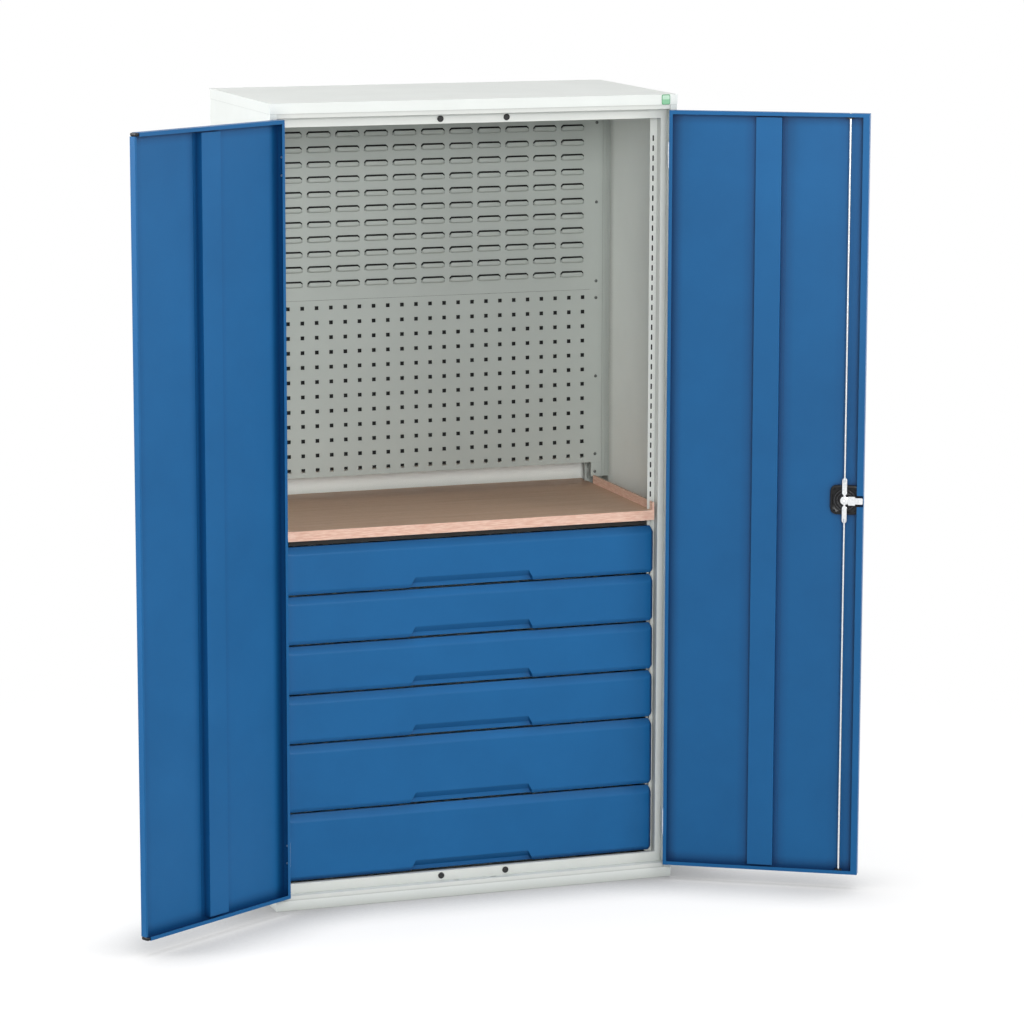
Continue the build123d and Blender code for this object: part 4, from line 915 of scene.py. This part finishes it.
# %% Rings and cover screws
# light grey tori over the housing's rings: a painted highlight along each crest
LOCK_RINGS = ((12.4, 10.1), (19.0, 10.3), (26.0, 10.4))
RING_HALF = (0.8, 0.45)
COVER_SCREW_AT, COVER_SEAT = 26.5, 8.9
COVER_SCREW_ROWS = (
    (0, 1.3), (0.8, 1.28), (1.5, 1.15), (2.2, 0.8), (2.6, 0.3), (2.6, -0.5), (0, -0.5)
)
ring_section = np.linspace(0, 2 * np.pi, 9)
ring_highlights = []
for middle, crest in LOCK_RINGS:
    oval_x = middle + RING_HALF[0] * np.cos(ring_section)
    oval_z = crest + RING_HALF[1] * np.sin(ring_section)
    ring_highlights.append(on_lock(turned(in_mm(np.column_stack([oval_x, oval_z])), 48)))
make_piece("lock_ring_painted_highlights", ring_highlights, ring_highlight_nylon, "right_door")
cover_screw = turned(in_mm(COVER_SCREW_ROWS), 24, cross_recess(0.45 * MM, 1.6 * MM, 0.7 * MM))
cover_sides = (-COVER_SCREW_AT, COVER_SCREW_AT)
cover_seats = [in_mm([x, y, COVER_SEAT]) for x in cover_sides for y in cover_sides]
cover_screws = [on_lock(cover_screw + seat) for seat in cover_seats]
make_piece("lock_cover_screws", cover_screws, nylon, "right_door")

# %% [markdown]
# ## Lock hub
# The hub is a bright turned boss on the spindle's inner end, chamfered, with a small blind hole in
# its middle.

# %% Lock hub
HUB_ROWS = [(0, 14.5), (1.4, 14.5), (1.5, 18.9), (1.9, 19.3), (9.6, 19.3), (10.4, 19.0)]
HUB_ROWS += [(10.6, 18.5), (9.0, 18.4), (9.0, 9.6), (8.7, 9.3), (0, 9.3)]
hub = on_lock(turned(in_mm(HUB_ROWS), 48))
make_piece("turned_lock_hub", [hub], rod_steel, "lock_spindle", ("lock_hub",))

# %% [markdown]
# ## Turn handle and key cylinder
# Outside, a cast lever grows from a round boss and tapers to its end, with a soft oval section that
# the fingers close round. The lever is an oval whose width and thickness change along its length.
# The boss is hollow for the key cylinder, whose face has a slot.

# %% Turn handle
BOSS_ROWS = [(8.05, 5.4), (8.05, 16.8), (8.7, 17.4), (11.6, 17.4), (12.9, 16.6), (13.4, 15.0)]
BOSS_ROWS += [(13.8, 11.6), (15.0, 10.2), (20.6, 9.2), (21.7, 8.4), (22.0, 7.0), (22.0, 0.9)]
BOSS_ROWS += [(21.5, 0.4), (6.0, 0.4), (6.0, -9.3), (0, -9.3), (0, 5.4), (8.05, 5.4)]
LEVER_START, LEVER_LONG, LEVER_RISE = 11.6, 90.2, 13.4
boss = on_lock(turned(in_mm(BOSS_ROWS), 64), OUT_OF_DOOR)
station = np.linspace(0, 1, 33)[:, None]
around = np.linspace(0, 2 * np.pi, 41)
end_round = np.sqrt(np.clip(1 - np.clip((station - 0.9) / 0.1, 0, 1) ** 2, 1e-6, 1))
half_wide = (9.9 - 2.6 * station + 1.2 * station**6) * end_round
half_thick = (3.9 - 1.1 * station + 0.6 * station**4) * end_round
lever_x = half_wide * np.cos(around)
lever_y = (LEVER_START + station * LEVER_LONG) * np.ones_like(around)
lever_z = LEVER_RISE + half_thick * np.sin(around)
lever = np.stack([lever_x, lever_y, lever_z], -1)
root_cap = np.stack([lever[0], np.broadcast_to(lever[0].mean(0), lever[0].shape)])
tip_cap = np.stack([lever[-1], np.broadcast_to(lever[-1].mean(0), lever[-1].shape)])
handle = [boss] + [on_lock(sheet * MM, OUT_OF_DOOR) for sheet in (lever, root_cap, tip_cap)]
make_piece("cast_turn_handle", handle, nylon, "lock_spindle", ("turn_handle",))

# %% Key cylinder
KEY_ROWS = [(r, 19.4) for r in np.linspace(0, 5.6, 15)]
KEY_ROWS += [(7.2, 19.4), (7.7, 19.1), (8.0, 18.5), (8.0, 6.0), (7.7, 5.7), (0, 5.7)]


def key_slot(x, y):
    """A slot 1.8 mm wide and 8.2 mm long, sunk 1.4 mm."""
    return 1.4 * MM * ((np.abs(x) < 0.9 * MM) & (np.abs(y) < 4.1 * MM))


key_face = on_lock(turned(in_mm(KEY_ROWS), 72, key_slot), OUT_OF_DOOR)
make_piece(
    "key_cylinder_face", [key_face], rod_steel, "key_cylinder", ("key_cylinder",)
)

# %% [markdown]
# ## Hinge rivets
# Two rivets hold each hinge leaf to its door. The tool rounds their heads, so a low dome covers
# each end.

# %% Hinge rivets
RIVET_BEHIND = 0.014
RIVET_RISE = [middle + shift for middle in (0.149, 1.851) for shift in (-0.022, 0.022)]
RIVET_INNER_FACE, RIVET_OUTER_FACE = 5.0 * MM, 2.7 * MM
rivet_dome = turned(in_mm(domed(2.85, 1.5) + [(2.85, -0.4), (0, -0.4)]), 24)
for side, body in ((-1, "left_door"), (1, "right_door")):
    along, upward, inward = door_axes(side)
    inner = (inward, upward, along)
    outer = (inward, upward, tuple(-np.array(along)))
    domes = []
    for rise in RIVET_RISE:
        seat = door_origin(side, 0.0, rise) + np.array(inward) * RIVET_BEHIND
        domes.append(placed(rivet_dome, seat + np.array(along) * RIVET_INNER_FACE, *inner))
        domes.append(placed(rivet_dome, seat + np.array(along) * RIVET_OUTER_FACE, *outer))
    make_piece(f"{body}_rivet_heads", domes, zinc, body)

# %% [markdown]
# ## The left door's end caps
# A nylon cap closes each end of the left door's edge strip. It is a small rounded block, a
# superellipsoid: the powers of its sines and cosines are below 1, which fills its corners out.

# %% End caps
def rounded_block(half, power=0.55, turns=25, rows=13):
    """Superellipsoid: each of x, y and z is a signed power of the sphere's own sine and cosine."""
    turn = np.linspace(-np.pi, np.pi, turns)
    lift = np.linspace(-np.pi / 2, np.pi / 2, rows)[:, None]
    bulge = np.abs(np.cos(lift)) ** power
    x = half[0] * bulge * np.sign(np.cos(turn)) * np.abs(np.cos(turn)) ** power
    y = half[1] * bulge * np.sign(np.sin(turn)) * np.abs(np.sin(turn)) ** power
    z = half[2] * np.sign(np.sin(lift)) * np.abs(np.sin(lift)) ** power * np.ones_like(turn)
    block = np.stack([x, y, z], -1)
    block[:, -1] = block[:, 0]
    return block


cap_node = frame["nodes"]["left_door_end_caps"]
corners = np.array([cap_node.matrix_world @ vertex.co for vertex in cap_node.data.vertices])
in_door = (corners - door_origin(-1, 0.0, 0.0)) @ np.array(door_axes(-1)).T
caps = []
for chosen in (in_door[:, 1] < 1.0, in_door[:, 1] > 1.0):
    low, high = in_door[chosen].min(0), in_door[chosen].max(0)
    block = rounded_block((high - low) / 2) + (high + low) / 2
    caps.append(placed(block, door_origin(-1, 0.0, 0.0), *door_axes(-1)))
make_piece("rounded_end_caps", caps, nylon, "left_door", ("left_door_end_caps",))

# %% [markdown]
# ## Louvre hoods
# The louvres carry storage bins. Each is lanced from the sheet and pushed forward into a hood that
# is open along its top. A hood is a stack of rings: its outline, then the same outline drawn in a
# little and pushed further out each time, until the flat face. The foot's corners are round, and
# the upper corners are cut at 45 degrees.

# %% Louvre hoods
HOOD_HALF, HOOD_CUT, HOOD_HEAD, HOOD_CORNER = 31.6, 37.4, 11.6, 7.0
HOOD_RINGS = ((0.0, -0.05), (0.9, 1.6), (2.0, 3.3), (3.2, 4.5), (4.4, 4.9))
LOUVRE_COLUMNS, LOUVRE_ROWS = 12, 11
LOUVRE_PITCH = (76.0, 38.0)
LOUVRE_TOP_FOOT = 1876.5


def hood_ring(inset, stand):
    """A closed ring of (across, up, outward): arcs at the foot, then shoulders and crown."""
    corner = HOOD_CORNER - inset * 0.6
    side = HOOD_HALF - inset
    arc = np.linspace(0, np.pi / 2, 4)
    foot_x = side - corner + corner * np.sin(arc)
    foot_z = inset - 1.0 + corner - corner * np.cos(arc)
    x = np.concatenate([foot_x, [side, HOOD_CUT - HOOD_HEAD]])
    z = np.concatenate([foot_z, [HOOD_CUT - side, HOOD_HEAD]])
    ring = np.stack(
        [np.concatenate([x, -x[::-1]]), np.concatenate([z, z[::-1]]), np.full(12, stand)], -1
    )
    return np.concatenate([ring, ring[:1]])


rings = [hood_ring(*row) for row in HOOD_RINGS]
back_middle = np.broadcast_to([0.0, 6.0, HOOD_RINGS[0][1]], rings[0].shape)
face_middle = np.broadcast_to([0.0, 7.0, HOOD_RINGS[-1][1]], rings[0].shape)
hood = np.stack([back_middle] + rings + [face_middle]) * MM
hoods = []
for column in range(LOUVRE_COLUMNS):
    for row in range(LOUVRE_ROWS):
        across = LOUVRE_PITCH[0] * (column - (LOUVRE_COLUMNS - 1) / 2)
        rise = LOUVRE_TOP_FOOT - LOUVRE_PITCH[1] * row
        hoods.append(placed(hood, (across * MM, PANEL_FACE, rise * MM), *FRONTWARD))
make_piece("louvre_hoods", hoods, shaded_inner_coat, "carcass")

# %% [markdown]
# ## Behind the panels
# The slots and square holes look into the closed space behind the panels, where hardly any light
# reaches. A black sheet across that space is painted shade, which keeps them as dark as they are on
# the object. A black strip of painted shade under the board's front edge does the same for the gap
# over the top drawer.

# %% Panel liner
def flat_box(x, y, z):
    """A closed box as one grid: a tube of five columns whose end rows shrink to their centres."""
    corners = np.array([(x[0], y[0]), (x[1], y[0]), (x[1], y[1]), (x[0], y[1]), (x[0], y[0])])
    middle = np.broadcast_to(corners[:4].mean(0), corners.shape)
    levels = [(middle, z[0]), (corners, z[0]), (corners, z[1]), (middle, z[1])]
    return np.stack([np.column_stack([plan, np.full(5, level)]) for plan, level in levels])


SHADE_LINER = ((-0.472, 0.472), (0.1985, 0.1995), (1.020, 1.915))
SHADE_STRIP = ((-0.470, 0.470), (-0.2255, -0.2245), (0.9115, 0.9249))
# black sheets of painted shade behind the panels and under the board's front edge
make_piece("panel_shade_liner", [flat_box(*SHADE_LINER)], black_painted_shade, "carcass")
make_piece("worktop_shade_strip", [flat_box(*SHADE_STRIP)], black_painted_shade, "carcass")

# %% [markdown]
# ## Behind the shelf slots
# The stile is folded round into a closed box, and no light gets in, so its slots look black. Black
# plates over the slots and a black strip behind them are painted shade for the unlit inside, and a
# pale cover closes the folded stile behind it.

# %% Shelf slots
SLOT_X, SLOT_TOP, SLOT_PITCH, SLOT_COUNT = 0.4815, 1.888, 0.025, 37
SLOT_HALF_WIDE, SLOT_HALF_RUN = 2.0, 5.3
STILE_FACE, STILE_BACK = -0.223, -0.2215


def slot_shade_plate(side, rise):
    """A black plate of painted shade over a slot, with rounded ends, 4 mm wide: capsule rings,
    closed at both faces' middles.
    """
    upper, lower = np.linspace(0, np.pi, 7), np.linspace(np.pi, 2 * np.pi, 7)
    turn = np.concatenate([upper, lower, [0.0]])
    across = SLOT_HALF_WIDE * np.cos(turn)
    up = SLOT_HALF_WIDE * np.sin(turn) + np.repeat([1, -1, 1], [7, 7, 1]) * SLOT_HALF_RUN
    rows = [(0.0, -0.3), (1.0, -0.3), (1.0, 0.06), (0.0, 0.06)]
    rings = [np.stack([share * across, share * up, np.full(15, tall)], -1) for share, tall in rows]
    return placed(in_mm(rings), (side * SLOT_X, STILE_FACE, rise), *FRONTWARD)


slot_rises = SLOT_TOP - SLOT_PITCH * np.arange(SLOT_COUNT)
slot_shade_plates = [slot_shade_plate(side, rise) for side in (-1, 1) for rise in slot_rises]
make_piece("stile_slot_shade_plates", slot_shade_plates, black_painted_shade, "carcass")

# %% Stile linings
# black strips of painted shade behind the slots, and pale covers behind them
LINING_X, LINING_BEHIND = (0.4780, 0.4850), (0.0001, 0.0012)
COVER_X, COVER_BEHIND = (0.4770, 0.4860), (0.0012, 0.0070)
STILE_RUN = (0.974, 1.992)


def stile_strips(x, behind):
    """A strip behind each stile: x mirrored to both sides, depth counted from the stile's back."""
    depth = (STILE_BACK + behind[0], STILE_BACK + behind[1])
    return [flat_box((side * x[0], side * x[1]), depth, STILE_RUN) for side in (-1, 1)]


linings, covers = stile_strips(LINING_X, LINING_BEHIND), stile_strips(COVER_X, COVER_BEHIND)
make_piece("stile_slot_shade_linings", linings, black_painted_shade, "carcass")
make_piece("stile_fold_covers", covers, body_coat, "carcass")

# %% [markdown]
# ## Lock rods and side bolt
# Each rod ends in a pressed flat tongue with round shoulders, whose neck hooks into the hub. The
# side bolt is a stamped plate: broad over the hub, folded once, then narrower out to the door's
# edge. Both are plates: an outline drawn at two depths, with a bevel drawn in along the outline's
# own normals.

# %% Plates
ROD_DEPTH, ROD_RADIUS, ROD_START = 17.0, 3.0, 46
TONGUE = [(9.6, 2.6), (13.5, 2.8), (15.0, 4.4), (16.6, 5.8), (19.0, 6.3), (50.0, 6.3)]
TONGUE += [(53.0, 5.8), (55.4, 4.6), (56.8, 2.9)]
TONGUE_NEAR, TONGUE_FAR, PLATE_BEVEL = ROD_DEPTH - 1.3, ROD_DEPTH + 1.2, 0.5


def plate(outline, near, far, bevel):
    """A flat bar: the outline at both depths, bevelled at the far face, closed at its middle."""
    run = np.roll(outline, -1, 0) - np.roll(outline, 1, 0)
    outward = np.stack([run[:, 1], -run[:, 0]], -1) / np.hypot(run[:, 0], run[:, 1])[:, None]
    middle = np.broadcast_to(outline.mean(0), outline.shape)
    levels = (
        (middle, near),
        (outline, near),
        (outline, far - bevel),
        (outline - outward * bevel, far),
        (middle, far),
    )
    rings = [np.column_stack([ring, np.full(len(ring), depth)]) for ring, depth in levels]
    return np.stack([np.concatenate([ring, ring[:1]]) for ring in rings]) * MM


def mirrored_outline(half_widths):
    """Rows of (height, half width) up one side and back down the other."""
    rows = np.array(half_widths, dtype=float)
    up_side = np.stack([rows[:, 1], rows[:, 0]], -1)
    return np.concatenate([up_side, up_side[::-1] * np.array([-1, 1])])


# %% Rods
for rod_name, toward in (("upper_rod", 1), ("lower_rod", -1)):
    low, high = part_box(rod_name)
    reach = (high[2] - LOCK_RISE if toward > 0 else LOCK_RISE - low[2]) / MM
    tongue = plate(mirrored_outline(TONGUE), TONGUE_NEAR, TONGUE_FAR, PLATE_BEVEL)
    rod_rows = [(0, ROD_START), (ROD_RADIUS, ROD_START), (ROD_RADIUS, reach - 1.5)]
    rod_rows += [(ROD_RADIUS - 1.0, reach), (0, reach)]
    rod = turned(in_mm(rod_rows), 24)[..., [0, 2, 1]] + np.array([0, 0, ROD_DEPTH * MM])
    sheets = [on_lock(sheet * np.array([1, toward, 1])) for sheet in (tongue, rod)]
    make_piece(f"pressed_{rod_name}", sheets, rod_steel, rod_name, (rod_name,))

# %% Side bolt
BOLT_END, BOLT_NEAR, BOLT_FAR = 45.7, 19.5, 21.7
BOLT = [(8.8, 7.5), (9.8, 9.6), (11.4, 10.6), (26.6, 10.6), (27.0, 7.4), (BOLT_END - 1.5, 7.4)]
BOLT += [(BOLT_END, 6.2)]
BOLT_FOLD = ((26.0, 27.2), (-10.6, 10.6), (BOLT_NEAR, 22.0))
broad = plate(mirrored_outline(BOLT)[:, ::-1], BOLT_NEAR, BOLT_FAR, PLATE_BEVEL)
bolt_sheets = [on_lock(broad), on_lock(flat_box(*in_mm(BOLT_FOLD)))]
make_piece("stamped_side_bolt", bolt_sheets, rod_steel, "side_bolt", ("side_bolt",))

# %% [markdown]
# ## Post folds
# Beside the panels the posts turn back to the side walls in two narrow folds, which draw fine
# upright lines.

# %% Post folds
POST_FOLDS = ((0.5035, 0.5065), (0.5120, 0.5150))
FOLD_DEPTH, FOLD_RUN = (POST_FACE - 0.0009, POST_FACE + 0.0002), (0.97, 1.996)
folds = [
    flat_box((side * near, side * far), FOLD_DEPTH, FOLD_RUN)
    for side in (-1, 1)
    for near, far in POST_FOLDS
]
make_piece("post_folds", folds, shaded_inner_coat, "carcass")
